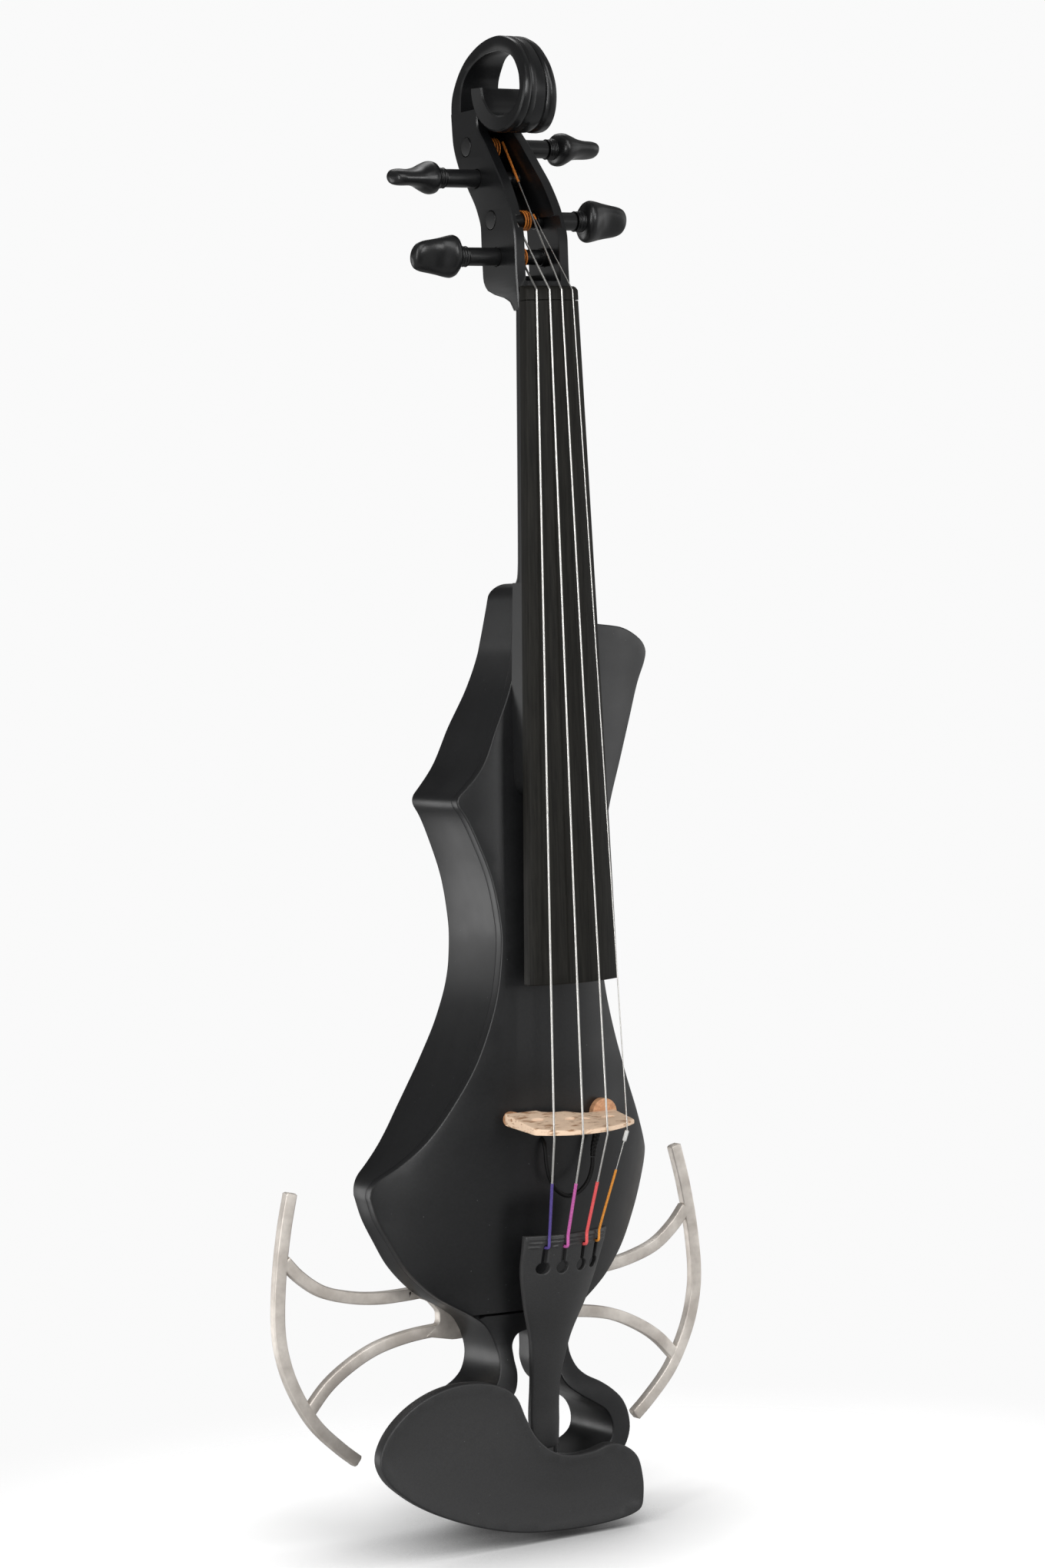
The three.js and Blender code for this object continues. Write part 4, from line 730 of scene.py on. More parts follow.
def back_cover():
    gap = CLEARANCE
    (x0, x1), _, (z0, z1) = span("battery_door")
    holes = [rectangle(x0 - gap, x1 + gap, z0 - gap, z1 + gap, 0.5)]
    for node, radius in ([("volume_knob", KNOB_HOLE), ("tone_knob", KNOB_HOLE)]
                         + [(f"back_cover_screw_{i}", COVER_SCREW + gap) for i in range(1, 5)]):
        x, _, z = middle(node)
        holes.append(circle(x, z, radius))
    outer = rectangle(-COVER_LEFT, COVER_RIGHT, -COVER_TOP - COVER_HEIGHT, -COVER_TOP, 1.5)
    shape = slab(outer, holes, COVER_INNER, BACK_Y, (0.2, 0.5), 8.0)
    piece("back_cover", shape, COVER_BLACK, 30)


def battery_door():
    """A flat door with a thumb notch between fine ribs, and a knuckle along its hinge."""
    (x0, x1), _, (z0, z1) = span("battery_door")
    centre = (x0 + x1) / 2

    def outside(x, z):
        ribs = GRIP_HEIGHT * np.clip(np.cos((z - z0) * 2 * np.pi / GRIP_PITCH), 0, 1)
        return BACK_Y - np.where((np.abs(z - z0 - 5) < 3.4) & (np.abs(x - centre) < GRIP_HALF), ribs, 0.0)

    shape = slab(rectangle(x0, x1, z0, z1 - 1, 0.8), [circle(centre, z0 + 4.2, NOTCH_RADIUS)], COVER_INNER,
                 outside, (0.2, 0.5), 1.4)
    door = piece("battery_door", shape, COVER_BLACK, body="battery_door")
    half = COVER_THICKNESS / 2
    hinge = (0, BACK_Y - half, z1 - half)
    combine(door, "UNION", rod("x", half, x0, x1, hinge, soft=0.3))
    combine(door, "DIFFERENCE", rod("x", HINGE_BORE, x0 - 1, x1 + 1, hinge, 24))


def screw(node, radius, height, length, sunk=0.0):
    """A button screw with a cross recess in its head."""
    x, _, z = middle(node)
    top = span(node)[1][1] - sunk
    shank = 0.55 * radius
    profile = [(0, top - length), (shank, top - length), (shank, top - height), (radius, top - height),
               (radius, top - 0.35 * height), (0.6 * radius, top), (0, top)]
    made = piece(node, turned("y", rounded(profile, 0.3), (x, 0, z), 32), STEEL)
    for a, b in ((0.62 * radius, 0.14 * radius), (0.14 * radius, 0.62 * radius)):
        combine(made, "DIFFERENCE", box(x - a, x + a, top - 0.9, top + 1, z - b, z + b))


def knob(node):
    """A round knob with a ribbed side and a pointer line, on its spindle."""
    x, _, z = middle(node)
    inner, top = span(node)[1]
    under = BACK_Y + CLEARANCE
    angles = full_turn(96)
    collar = COVER_INNER + CLEARANCE
    profile = rounded([(0, inner), (SPINDLE_RADIUS, inner), (SPINDLE_RADIUS, collar), (KNOB_BOSS, collar),
                       (KNOB_BOSS, under), (KNOB_RADIUS, under), (KNOB_RADIUS - 0.2, top - 0.9),
                       (KNOB_RADIUS - 0.9, top), (0, top)], 0.4)
    rings = []
    for radius, height in profile:
        ribs = KNOB_RIB_DEPTH if radius > KNOB_RADIUS - 0.6 and height > under + 0.5 else 0.0
        reach = radius - ribs * (0.5 + 0.5 * np.cos(KNOB_RIBS * angles))
        rings.append(np.column_stack([x + reach * np.cos(angles), np.full(96, height),
                                      z + reach * np.sin(angles)]))
    made = piece(node, skin(rings), COVER_BLACK, body=node)
    combine(made, "DIFFERENCE", box(x - POINTER_HALF, x + POINTER_HALF, top - 0.4, top + 1, z + 1.5,
                                    z + KNOB_RADIUS - 0.6))


def jack():
    """A socket with a flanged nut and an open bore."""
    x0, x1 = span("output_jack")[0]
    _, y, z = middle("output_jack")
    profile = [(0, x0), (JACK_RADIUS, x0), (JACK_RADIUS, x1 - JACK_NUT), (JACK_FLANGE, x1 - JACK_NUT),
               (JACK_FLANGE, x1 - 0.4), (JACK_FLANGE - 0.5, x1), (JACK_BORE + 1.2, x1),
               (JACK_BORE + 1, x1 - 0.6), (JACK_BORE, x1 - 0.6), (JACK_BORE, x0 + 5.5), (0, x0 + 5.5)]
    piece("output_jack", turned("x", rounded(profile, 0.2), (0, y, z)), STEEL)


def kept_nodes():
    """Solids inside the body keep their shape and get a finish of their own."""
    for node, material in (("battery", CELL), ("battery_door_pin", STEEL), ("circuit_board", BOARD_GREEN),
                           ("volume_pot", ALUMINIUM), ("tone_pot", ALUMINIUM)):
        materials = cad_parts[node].data.materials
        materials.clear()
        materials.append(material)


# Neck, pegbox and scroll, as shares of their lengths, depths and widths, and by the scroll's angle

NECK_DEPTH_SHARES = [(0, 0.86), (0.09, 0.88), (0.91, 0.98), (0.955, 1.03), (0.985, 1.13), (1, 1.3)]
TONGUE_END_SHARES = [(0, 1), (0.9, 1), (0.965, 0.93), (0.99, 0.8), (1, 0.68)]
PEGBOX_FRONT_SHARES = [(-0.095, 0.012), (0, 0.016), (0.122, 0.025), (0.27, 0.023), (0.405, 0.072),
                       (0.568, 0.196), (0.689, 0.33), (0.811, 0.471), (0.904, 0.578), (0.946, 0.584),
                       (1, 0.608)]
PEGBOX_BACK_SHARES = [(-0.095, 0.2), (-0.05, 0.216), (-0.024, 0.275), (0, 0.395), (0.03, 0.486),
                      (0.095, 0.537), (0.2, 0.54), (0.351, 0.545), (0.459, 0.605), (0.581, 0.735),
                      (0.703, 0.876), (0.851, 0.971), (1, 1)]
PEGBOX_HALF_SHARES = [(-0.095, 0.967), (0, 1), (0.27, 1), (0.405, 0.976), (0.568, 0.935), (0.689, 0.894),
                      (0.892, 0.821), (1, 0.789)]
SLOT_SHARES = (0.055, 0.885)
BACK_WINDOW_SHARES = (0.108, 0.405)
WINDOW_WALL = 2.2
SCROLL_OUTER_SHARES = [(-30, 1.591), (-16, 1.545), (-3, 1.491), (12, 1.377), (25, 1.286), (42, 1.168),
                       (60, 1.055), (80, 0.955), (97, 0.9), (115, 0.877), (140, 0.877), (164, 0.909),
                       (183, 0.936), (213, 0.955), (228, 0.936), (243, 0.891), (258, 0.836), (275, 0.782),
                       (297, 0.723), (330, 0.677), (364, 0.65)]
SCROLL_INNER_SHARES = [(-30, 1.227), (-16, 1.195), (-7, 1.159), (10, 1.114), (27, 0.995), (46, 0.859),
                       (72, 0.7), (105, 0.618), (146, 0.636), (174, 0.7), (195, 0.755), (218, 0.718),
                       (244, 0.591), (275, 0.436), (305, 0.318), (353, 0.264), (364, 0.264)]
SCROLL_HALF_SHARES = [(-30, 0.817), (-7, 0.775), (10, 0.717), (27, 0.633), (46, 0.5), (72, 0.408),
                      (97, 0.417), (115, 0.43), (140, 0.485), (164, 0.55), (183, 0.62), (213, 0.715),
                      (243, 0.815), (275, 0.875), (330, 0.91), (364, 0.93)]
SCROLL_ACROSS = [0.13, 0.26, 0.36, 0.44, 0.52, 0.6, 0.68, 0.8, 0.93, 1]
GROOVE_DEPTH = 1.1
GROOVE_SHARE = 0.42
PEGS = {
    "g": {"side": -1, "forward": 0.3, "height": 0.197, "middle": -0.2, "blade": 113},
    "d": {"side": -1, "forward": 0.584, "height": 0.629, "middle": -0.45, "blade": 10},
    "a": {"side": 1, "forward": 0.741, "height": 0.808, "middle": 0.3, "blade": -10},
    "e": {"side": 1, "forward": 0.371, "height": 0.395, "middle": 0.4, "blade": 113},
}


def pegbox(share):
    """Half the width, the front and the back of the pegbox at a share of its height."""
    return (PEGBOX_WIDTH / 2 * look_up(PEGBOX_HALF_SHARES, share),
            PEGBOX_DEPTH * look_up(PEGBOX_FRONT_SHARES, share),
            PEGBOX_DEPTH * look_up(PEGBOX_BACK_SHARES, share))


def neck_bar():
    """The rounded grip from under the nut to the heel."""
    rings = []
    for share in [*np.linspace(0, 0.93, 16), 0.95, 0.965, 0.975, 0.985, 0.993, 1]:
        z = share * (-BODY_TOP + 0.02)
        half, front = board_half(z) - 0.3, board_under(z) + 0.02
        depth = NECK_DEPTH * look_up(NECK_DEPTH_SHARES, share) - 0.5
        back = [(half * math.cos(a), front + 0.8 + depth * math.sin(a) ** 1.2, z)
                for a in np.linspace(0, np.pi, 33)]
        rings.append(back + [(-half, front, z), (half, front, z)])
    return skin(rings)


def tongue():
    """The part of the neck that runs on over the body under the fingerboard."""
    rings = []
    for share in [*np.linspace(0, 0.9, 14), 0.93, 0.95, 0.965, 0.98, 0.99, 1]:
        z = -BODY_TOP + 0.1 - share * (TONGUE_LENGTH + 0.1)
        half = TONGUE_WIDTH / 2 * look_up(TONGUE_END_SHARES, share)
        front = board_under(z) + 0.02
        back = [(x, body_front(x, min(z, -BODY_TOP)) - 0.02, z) for x in np.linspace(-half, half, 13)]
        rings.append([(half, front, z), (0, front, z), (-half, front, z)] + back)
    return skin(rings)


def pegbox_block():
    """The pegbox before it is hollowed, with rounded edges at its back."""
    rings = []
    for share in np.unique(np.concatenate([np.linspace(-0.095, 1, 46), [-0.05, -0.024, 0, 0.03]])):
        z = share * PEGBOX_HEIGHT
        half, near, far = pegbox(share)
        corner = 2.0 + 5.5 * min(1, max(0, (3 - z) / 10))
        ring = [(-half, near + 0.5), (-half + 0.5, near), (half - 0.5, near), (half, near + 0.5)]
        for x, start in ((half - corner, 0), (-half + corner, 90)):
            ring += [(x + corner * math.cos(a), far - corner + corner * math.sin(a))
                     for a in np.radians(range(start, start + 91, 18))]
        rings.append([(x, y, z) for x, y in ring])
    return skin(rings)


def pegbox_slot():
    """What is cut out of the pegbox between its walls, from the front."""
    rings = []
    for share in np.linspace(*SLOT_SHARES, 30):
        half, near, far = np.add(pegbox(share), [-PEGBOX_WALL, -5, -PEGBOX_WALL])
        z = share * PEGBOX_HEIGHT
        rings.append([(-half, near, z), (half, near, z), (half, far, z), (-half, far, z)])
    return skin(rings)


def back_window():
    low, high = BACK_WINDOW_SHARES
    half = pegbox(low)[0] - WINDOW_WALL
    return box(-half, half, 2, pegbox(high)[2] + 5, low * PEGBOX_HEIGHT, high * PEGBOX_HEIGHT)


def scroll():
    """A band that rolls in on itself, wider towards its end, with grooves along its outside."""
    across = SCROLL_ACROSS[::-1] + [0] + [-s for s in SCROLL_ACROSS]
    rings = []
    for degrees in np.linspace(-30, 364, 110):
        half = SCROLL_WIDTH / 2 * look_up(SCROLL_HALF_SHARES, degrees)
        inner = SCROLL_RADIUS * look_up(SCROLL_INNER_SHARES, degrees)
        outer = SCROLL_RADIUS * look_up(SCROLL_OUTER_SHARES, degrees)
        ring = [(s, inner + (0.7 if abs(s) == 1 else 0)) for s in (-1, -0.95, -0.5, 0, 0.5, 0.95, 1)]
        for s in across:
            groove = GROOVE_DEPTH * math.exp(-((abs(s) - GROOVE_SHARE) / 0.1) ** 2)
            ring.append((s, outer - groove - (1.0 if abs(s) == 1 else 0.25 if abs(s) > 0.9 else 0)))
        angle = math.radians(degrees)
        rings.append([(s * half, SCROLL_FORWARD + radius * math.cos(angle),
                       SCROLL_HEIGHT + radius * math.sin(angle)) for s, radius in ring])
    return skin(rings)


def peg_place(values):
    """The middle of a peg's axis, and the outer and inner face of the wall that it goes through."""
    outer = pegbox(values["height"])[0]
    centre = (0, values["forward"] * PEGBOX_DEPTH, values["height"] * PEGBOX_HEIGHT)
    return centre, outer, outer - PEGBOX_WALL


def neck():
    head = piece("neck", neck_bar(), HEAD_LACQUER)
    combine(head, "UNION", tongue(), pegbox_block(), scroll())
    combine(head, "DIFFERENCE", pegbox_slot(), back_window())
    for values in PEGS.values():
        centre, outer, _ = peg_place(values)
        combine(head, "DIFFERENCE", rod("x", PEG_HOLE_RADIUS, -outer - 4, outer + 4, centre, 40), smooth=32)


# Pegs

PEG_RADIUS = 3.6
PEG_REACH = 26.3
SHAFT_RADIUS = 1.3
DRUM_RADIUS = 3
COLLAR_LENGTH = 4
COLLAR_RADIUS = 4.6
COLLAR_RING = 0.45
HEAD_LENGTH = 20.6
HEAD_WIDTH = 17
HEAD_THICKNESS = 13
HEAD_SHARES = [(0, 0.56, 0.72), (0.03, 0.76, 0.86), (0.08, 0.94, 0.97), (0.15, 1, 1), (0.27, 0.96, 0.88),
               (0.42, 0.88, 0.66), (0.6, 0.8, 0.56), (0.78, 0.72, 0.53), (0.9, 0.6, 0.47), (0.96, 0.42, 0.36),
               (1, 0.1, 0.1)]
WINDING_RADIUS = 0.35
WINDING_PITCH = 1.15
WINDING_TURNS = 3
WINDING_SIDE = (WINDING_TURNS / 2 + 1) * WINDING_PITCH
WINDING_REACH = DRUM_RADIUS + CLEARANCE + WINDING_RADIUS


def peg_head(name, values):
    """A ringed collar and a paddle that is nearly round at its shoulder and dished towards its tip."""
    centre, side = peg_place(values)[0], values["side"]
    start = PEG_REACH + CLEARANCE
    end = start + COLLAR_LENGTH
    profile = [(0, PEG_REACH - 6), (SHAFT_RADIUS, PEG_REACH - 6), (SHAFT_RADIUS, start),
               (COLLAR_RADIUS - 0.5, start)]
    for share in np.linspace(0, 1, 25):
        ring = COLLAR_RING * (0.5 - 0.5 * math.cos(6 * math.pi * share))
        profile.append((COLLAR_RADIUS - 0.75 * (1 - share) - ring, start + share * COLLAR_LENGTH))
    profile += [(COLLAR_RADIUS, end + 0.3), (0, end + 0.3)]
    head = piece(f"peg_head_{name}", turned("x", profile, centre, 48, side), PEG_BLACK,
                 body=f"peg_{name}")
    turn, angles = math.radians(values["blade"]), full_turn(48)
    rings = []
    for share in np.concatenate([np.linspace(0, 0.9, 26), 1 - 0.1 * np.linspace(0.88, 0, 12) ** 2]):
        dish = 0.14 * math.exp(-((share - 0.55) / 0.22) ** 2) * np.sin(angles) ** 4
        a = look_up(HEAD_SHARES, share, 1) * HEAD_WIDTH / 2 * np.cos(angles)
        b = look_up(HEAD_SHARES, share, 2) * HEAD_THICKNESS / 2 * np.sin(angles) * (1 - dish)
        rings.append(np.column_stack([np.full(48, side * (end - 0.4 + share * HEAD_LENGTH)),
                                      centre[1] + a * math.cos(turn) - b * math.sin(turn),
                                      centre[2] + a * math.sin(turn) + b * math.cos(turn)]))
    combine(head, "UNION", skin(rings), smooth=50)


def peg(name, values):
    """The fixed sleeve in the wall, the drum across the pegbox, the head and the string's turns."""
    centre, outer, inner = peg_place(values)
    side, bore = values["side"], SHAFT_RADIUS + CLEARANCE
    sleeve = rounded([(bore, inner), (PEG_RADIUS, inner), (PEG_RADIUS, PEG_REACH), (bore, PEG_REACH),
                      (bore, inner)], 0.4)
    piece(f"peg_barrel_{name}", turned("x", sleeve, centre, 40, side, capped=False), PEG_BLACK)
    shoulder, plug, end = inner - CLEARANCE, WINDING_RADIUS - inner, -outer - CLEARANCE
    drum = rounded([(0, end), (PEG_RADIUS, end), (PEG_RADIUS, plug), (DRUM_RADIUS, plug),
                    (DRUM_RADIUS, shoulder), (SHAFT_RADIUS, shoulder), (SHAFT_RADIUS, shoulder + 6),
                    (0, shoulder + 6)], 0.3)
    piece(f"string_drum_{name}", turned("x", drum, centre, 40, side), PEG_BLACK,
          body=f"drum_{name}")
    peg_head(name, values)
    turns = np.arange(28 * WINDING_TURNS + 1) / 28
    line = np.column_stack([winding_middle(values) + (turns - WINDING_TURNS / 2) * WINDING_PITCH,
                            centre[1] + WINDING_REACH * np.cos(2 * np.pi * turns),
                            centre[2] + WINDING_REACH * np.sin(2 * np.pi * turns)])
    piece(f"winding_{name}", tube(line, WINDING_RADIUS, 10), PEG_SILK, 60, f"drum_{name}")


def winding_middle(values):
    """Where the string's turns lie across the pegbox, clear of its walls."""
    inner = peg_place(values)[2]
    room = inner - WINDING_SIDE - CLEARANCE
    return min(max(values["middle"] * inner, -room), room)


# Strings and tailpiece, whose half width and depth at its edge and middle go by a share of its length

TAIL_TOP = -STRING_LENGTH - AFTER_LENGTH
TAIL_END = -(BODY_END - 16)
TAIL_HALF = 19
TAIL_DEPTH = 38
TAIL_THICKNESS = 3.4
TAIL_SHARES = [(0, 1, 0.31, 0.151), (0.045, 0.99, 0.34, 0.173), (0.156, 0.937, 0.445, 0.243),
               (0.311, 0.768, 0.555, 0.4), (0.522, 0.46, 0.71, 0.65), (0.744, 0.345, 0.84, 0.81),
               (0.856, 0.353, 0.87, 0.845), (1, 0.316, 0.875, 0.85)]
TAIL_SLOT_SHARES = {"g": -0.593, "d": -0.2, "a": 0.27, "e": 0.655}
SLOT_INSET = 4
SLOT_LENGTH = 9.5
SLOT_HALF = 0.95
KEYHOLE_RADIUS = 2.4
RIDGES = (1.3, 3.0, 4.7)
RIDGE_HEIGHT = 0.45
CORD_RADIUS = 1
CORD_HALF = 4.3
BUTTON_RADIUS = 6.5
BUTTON_HEIGHT = 6
BUTTON_SHANK = 3


def tail_share(z, column):
    return look_up(TAIL_SHARES, (TAIL_TOP - z) / (TAIL_TOP - TAIL_END), column)


def tail_half(z):
    return TAIL_HALF * tail_share(z, 1)


def tail_front(x, z):
    edge, centre = tail_share(z, 2), tail_share(z, 3)
    return TAIL_DEPTH * (centre + (edge - centre) * (x / tail_half(z)) ** 2)


def on_arch(name, spread, rise, z):
    """A string's place above an arch that runs along with the board's."""
    x = STRING_ORDER[name] * spread / 2
    return np.array([x, CROWN + sagitta(BOARD_RADIUS, x) - rise, z])


def nut_point(name):
    return on_arch(name, NUT_SPREAD, NUT_ACTION, 0)


def drum_point(name):
    """Where a string reaches its drum, beside its turns."""
    centre = peg_place(PEGS[name])[0]
    _, y, z = nut_point(name)
    dy, dz = centre[1] - y, centre[2] - z
    distance = math.hypot(dy, dz)
    turn = math.atan2(dz, dy) + math.asin(WINDING_REACH / distance)
    reach = math.sqrt(distance**2 - WINDING_REACH**2)
    x = winding_middle(PEGS[name]) + math.copysign(WINDING_SIDE, PEGS[name]["middle"])
    return np.array([x, y + reach * math.cos(turn), z + reach * math.sin(turn)])


def string_marks(name):
    """The points where a string bends, from its drum to behind its slot."""
    bridge_ends = [on_arch(name, BRIDGE_SPREAD, BRIDGE_ACTION, side * BRIDGE_NOTCH / 2 - STRING_LENGTH)
                   for side in (1, -1)]
    above = SILK_RADIUS[name] + CLEARANCE
    x, top = TAIL_SLOT_SHARES[name] * TAIL_HALF, TAIL_TOP - SLOT_INSET
    over = np.array([x, tail_front(x, TAIL_TOP) - above, TAIL_TOP])
    into = np.array([x, tail_front(x, top) - above, top - above])
    behind = into + [0, TAIL_THICKNESS + above + BALL_RADIUS + 3 * CLEARANCE, 0]
    return drum_point(name), nut_point(name), *bridge_ends, over, into, behind


def string(name):
    """A string's bare run, its silk behind the bridge and at the peg, and the ball behind its slot."""
    drum, nut_end, bridge_front, bridge_back, over, into, behind = string_marks(name)
    along, run = unit(nut_end - drum), unit(over - bridge_back)
    silk_end, silk_top = drum + PEG_SILK_LENGTH[name] * along, bridge_back + SILK_START[name] * run
    bare = [silk_end, nut_end - 0.6 * along, nut_end, nut_end + [0, 0, -0.8], bridge_front, bridge_back,
            silk_top + 0.5 * run]
    lower = curve([silk_top, over - 0.5 * run, over + [0, 0.15, -0.6], into + [0, -0.2, 0.5],
                   into + [0, 0.6, 0.05], behind], 0.4)
    half_turn = np.linspace(-np.pi / 2, np.pi / 2, 13)
    ball = [(BALL_RADIUS * math.cos(a), BALL_RADIUS * math.sin(a)) for a in half_turn]
    thick = SILK_RADIUS[name]
    for part, shape, material, slot in (
            ("steel", tube(bare, STRING_RADIUS[name], 14), WOUND, "string_steel"),
            ("silk", tube(lower, thick, 14), SILKS[name], "winding_silk"),
            ("peg_silk", tube([drum, silk_end + 0.5 * along], 0.8 * thick, 14), PEG_SILK, "winding_silk"),
            ("ball", turned("x", ball, behind, 24), STEEL, "steel")):
        piece(f"string_{name}", shape, material, 60, part=part)


def string_tube():
    """The clear sleeve on the thinnest string, just behind the bridge."""
    start, over = string_marks("e")[3:5]
    line = [start + (0.25 + d) * unit(over - start) for d in (0, 0.3, 4.2, 4.5)]
    piece("string_tube", tube(line, [0.7, 0.85, 0.85, 0.7], 24), CLEAR, 60)


def keyhole(x):
    """A slot with round ends, wider at its lower one."""
    bottom = TAIL_TOP - SLOT_INSET - SLOT_LENGTH
    top = bottom + SLOT_LENGTH - SLOT_HALF
    gap = math.asin(SLOT_HALF / KEYHOLE_RADIUS)
    side = np.linspace(bottom + KEYHOLE_RADIUS + 0.3, top, 7)
    loop = [(x + KEYHOLE_RADIUS * math.sin(a), bottom + KEYHOLE_RADIUS * math.cos(a))
            for a in np.linspace(gap, 2 * np.pi - gap, 26)]
    loop += [(x - SLOT_HALF, z) for z in side]
    loop += [(x - SLOT_HALF * math.cos(a), top + SLOT_HALF * math.sin(a))
             for a in np.radians(range(30, 151, 30))]
    return np.array(loop + [(x + SLOT_HALF, z) for z in side[::-1]])


def tailpiece():
    """An arched plate with keyhole slots and three small ridges across its top."""
    left = [(-tail_half(z), z) for z in np.linspace(TAIL_TOP, TAIL_END, 60)]
    outline = resample(left + [(-x, z) for x, z in left[::-1]], 1.3, closed=True)

    def front(x, z):
        ridges = sum(np.exp(-((TAIL_TOP - z - below) / 0.42) ** 2) for below in RIDGES)
        return tail_front(x, z) + RIDGE_HEIGHT * (1 - ridges)

    def back(x, z):
        return tail_front(x, z) + TAIL_THICKNESS

    rows = [(x, TAIL_TOP - below) for below in np.arange(0.7, 6.4, 0.28) for x in np.arange(-18, 18.1, 1.2)]
    slots = [keyhole(share * TAIL_HALF) for share in TAIL_SLOT_SHARES.values()]
    piece("tailpiece", slab(outline, slots, front, back, (0.6, 0.4), 2.0, rows), MOULDED, 40)


def tail_cord():
    """The loop that holds the tailpiece to the end button."""
    end, ring_front = body_z(1), body_front(0, body_z(1))
    level, front = end - CORD_RADIUS - CLEARANCE, ring_front - CORD_RADIUS - CLEARANCE
    strand = [(CORD_HALF, front, TAIL_END + 1), (CORD_HALF, front, end + 4),
              (CORD_HALF, front + 0.6, end + 0.2), (CORD_HALF, ring_front + 1.2, level)]
    arc = [(CORD_HALF * math.cos(a), (ring_front + BACK_Y) / 2 + CORD_HALF * math.sin(a), level)
           for a in np.radians(range(0, 181, 15))]
    line = curve(strand + arc + [(-x, y, z) for x, y, z in strand[::-1]], 0.8)
    piece("tail_cord", tube(line, CORD_RADIUS, 14), MOULDED, 60)


def end_button():
    _, y, _ = middle("end_button")
    low, high = span("end_button")[2]
    head = low + BUTTON_HEIGHT
    profile = rounded([(0, low), (BUTTON_RADIUS - 2, low), (BUTTON_RADIUS, low + 2.4),
                       (BUTTON_RADIUS, head - 1), (BUTTON_RADIUS - 1.1, head), (BUTTON_SHANK, head),
                       (BUTTON_SHANK, high), (0, high)], 0.8)
    piece("end_button", turned("z", profile, (0, y, 0)), PEG_BLACK)


# Bridge, pickup and cable

BRIDGE_HALF = 23
BRIDGE_FOOT_HALF = 25.5
BRIDGE_LEAN = 5.2
BRIDGE_TOP_HALF = 0.9
BRIDGE_ARCH_HALF = 11
BRIDGE_ARCH_HEIGHT = 4
BRIDGE_OPENINGS = [(3.0, 1.5, -16.5, 4.2), (3.0, 1.5, 16.5, 4.2), (2.2, 1.3, -3.0, 1.6),
                   (2.2, 1.3, 4.4, 1.6)]
DISC_THICKNESS = 3.2
DISC_SPACING = 37
DISCS = {
    "bass": {"x": -DISC_SPACING / 2 - 2.2, "rise": 1.5, "radius": 3.1},
    "treble": {"x": DISC_SPACING / 2 + 3, "rise": 0.2, "radius": 5.7},
}
DISC_Z = -STRING_LENGTH + 2.8
DISC_TOP = body_front(DISC_SPACING / 2, DISC_Z) - DISC_THICKNESS - CLEARANCE
BRIDGE_CROWN = CROWN - BRIDGE_ACTION + STRING_RADIUS["g"] + CLEARANCE
CABLE_RADIUS = 0.9
CABLE = [(15.5, 14.9, -342.4), (15, 14.8, -346), (12.5, 14.6, -351.5), (8, 14.4, -355.3), (3, 14.2, -356.4),
         (-2, 14, -354), (-5.5, 13.8, -349), (-6.9, 13.8, -343), (-7, 14.8, -335), (-7, 17.5, -332.3),
         (-7, 23, -332), (-7, 40, -332), (-7, 52, -332)]
BOOT = [(18.4, 15.4, -331.4), (17.5, 15.2, -334.6), (16.2, 15, -338), (15.5, 14.9, -342)]


def level_place(x, y, z):
    """Where a point of an outline drawn from above lies, at a height."""
    return x, y, z


def bridge():
    """A thin bridge that leans towards the tailpiece, with an arch between its feet and small openings."""
    foot = DISC_TOP - CLEARANCE
    crown = [(x, BRIDGE_CROWN + sagitta(BOARD_RADIUS, x))
             for x in np.linspace(BRIDGE_HALF, -BRIDGE_HALF, 40)]
    arch = [(BRIDGE_ARCH_HALF * s, foot - BRIDGE_ARCH_HEIGHT * math.sqrt(max(0, 1 - s * s)))
            for s in np.linspace(-1, 1, 24)]
    left = [(-BRIDGE_HALF - 0.4, BRIDGE_CROWN + 8), (-BRIDGE_FOOT_HALF + 0.3, foot - 3),
            (-BRIDGE_FOOT_HALF, foot)]
    right = [(-x, y) for x, y in left[::-1]]
    outline = resample(crown + left + arch + right, 0.7, closed=True)
    openings = [circle(0, 0, 1, 20) * [width, height] + [x, y] for width, height, x, y in BRIDGE_OPENINGS]

    def lean(y):
        share = np.clip((y - BRIDGE_CROWN) / (foot - BRIDGE_CROWN), -0.2, 1)
        return share, -STRING_LENGTH + BRIDGE_LEAN * share

    def lower(x, y):
        share, z = lean(y)
        return z - BRIDGE_TOP_HALF - 1.8 * share

    def upper(x, y):
        share, z = lean(y)
        return z + BRIDGE_TOP_HALF + (1.1 - 3.2 * np.clip(x / 12, 0, 1)) * share

    shape = slab(outline, openings, lower, upper, (0.3, 0.3), 2.0, place=level_place)
    piece("bridge", shape, MAPLE, 35)


def pickup_disc(side, x, rise, radius):
    """A round wooden pickup between a foot of the bridge and the plate."""
    node = f"pickup_disc_{side}"
    bottom = DISC_TOP + DISC_THICKNESS + 1.2
    profile = rounded([(0, DISC_TOP), (radius, DISC_TOP), (radius, bottom), (0, bottom)], 0.5)
    profile = [(r, min(y, span(node)[1][1])) for r, y in profile]
    piece(node, turned("y", profile, (x, 0, DISC_Z + rise), 64), DISC_WOOD)


def cable():
    """The pickup's lead, and the ribbed boot from which it leaves."""
    piece("pickup_cable", tube(curve(CABLE, 0.8), CABLE_RADIUS, 16), RUBBER, 60)
    line = curve(BOOT, 0.25)
    share = np.linspace(0, 1, len(line))
    ribs = 0.12 * (0.5 + 0.5 * np.cos(2 * np.pi * 7 * share))
    piece("cable_boot", tube(line, 2 * CABLE_RADIUS - 0.72 * share - ribs, 20), RUBBER, 50)


# Chin rest and its clamp

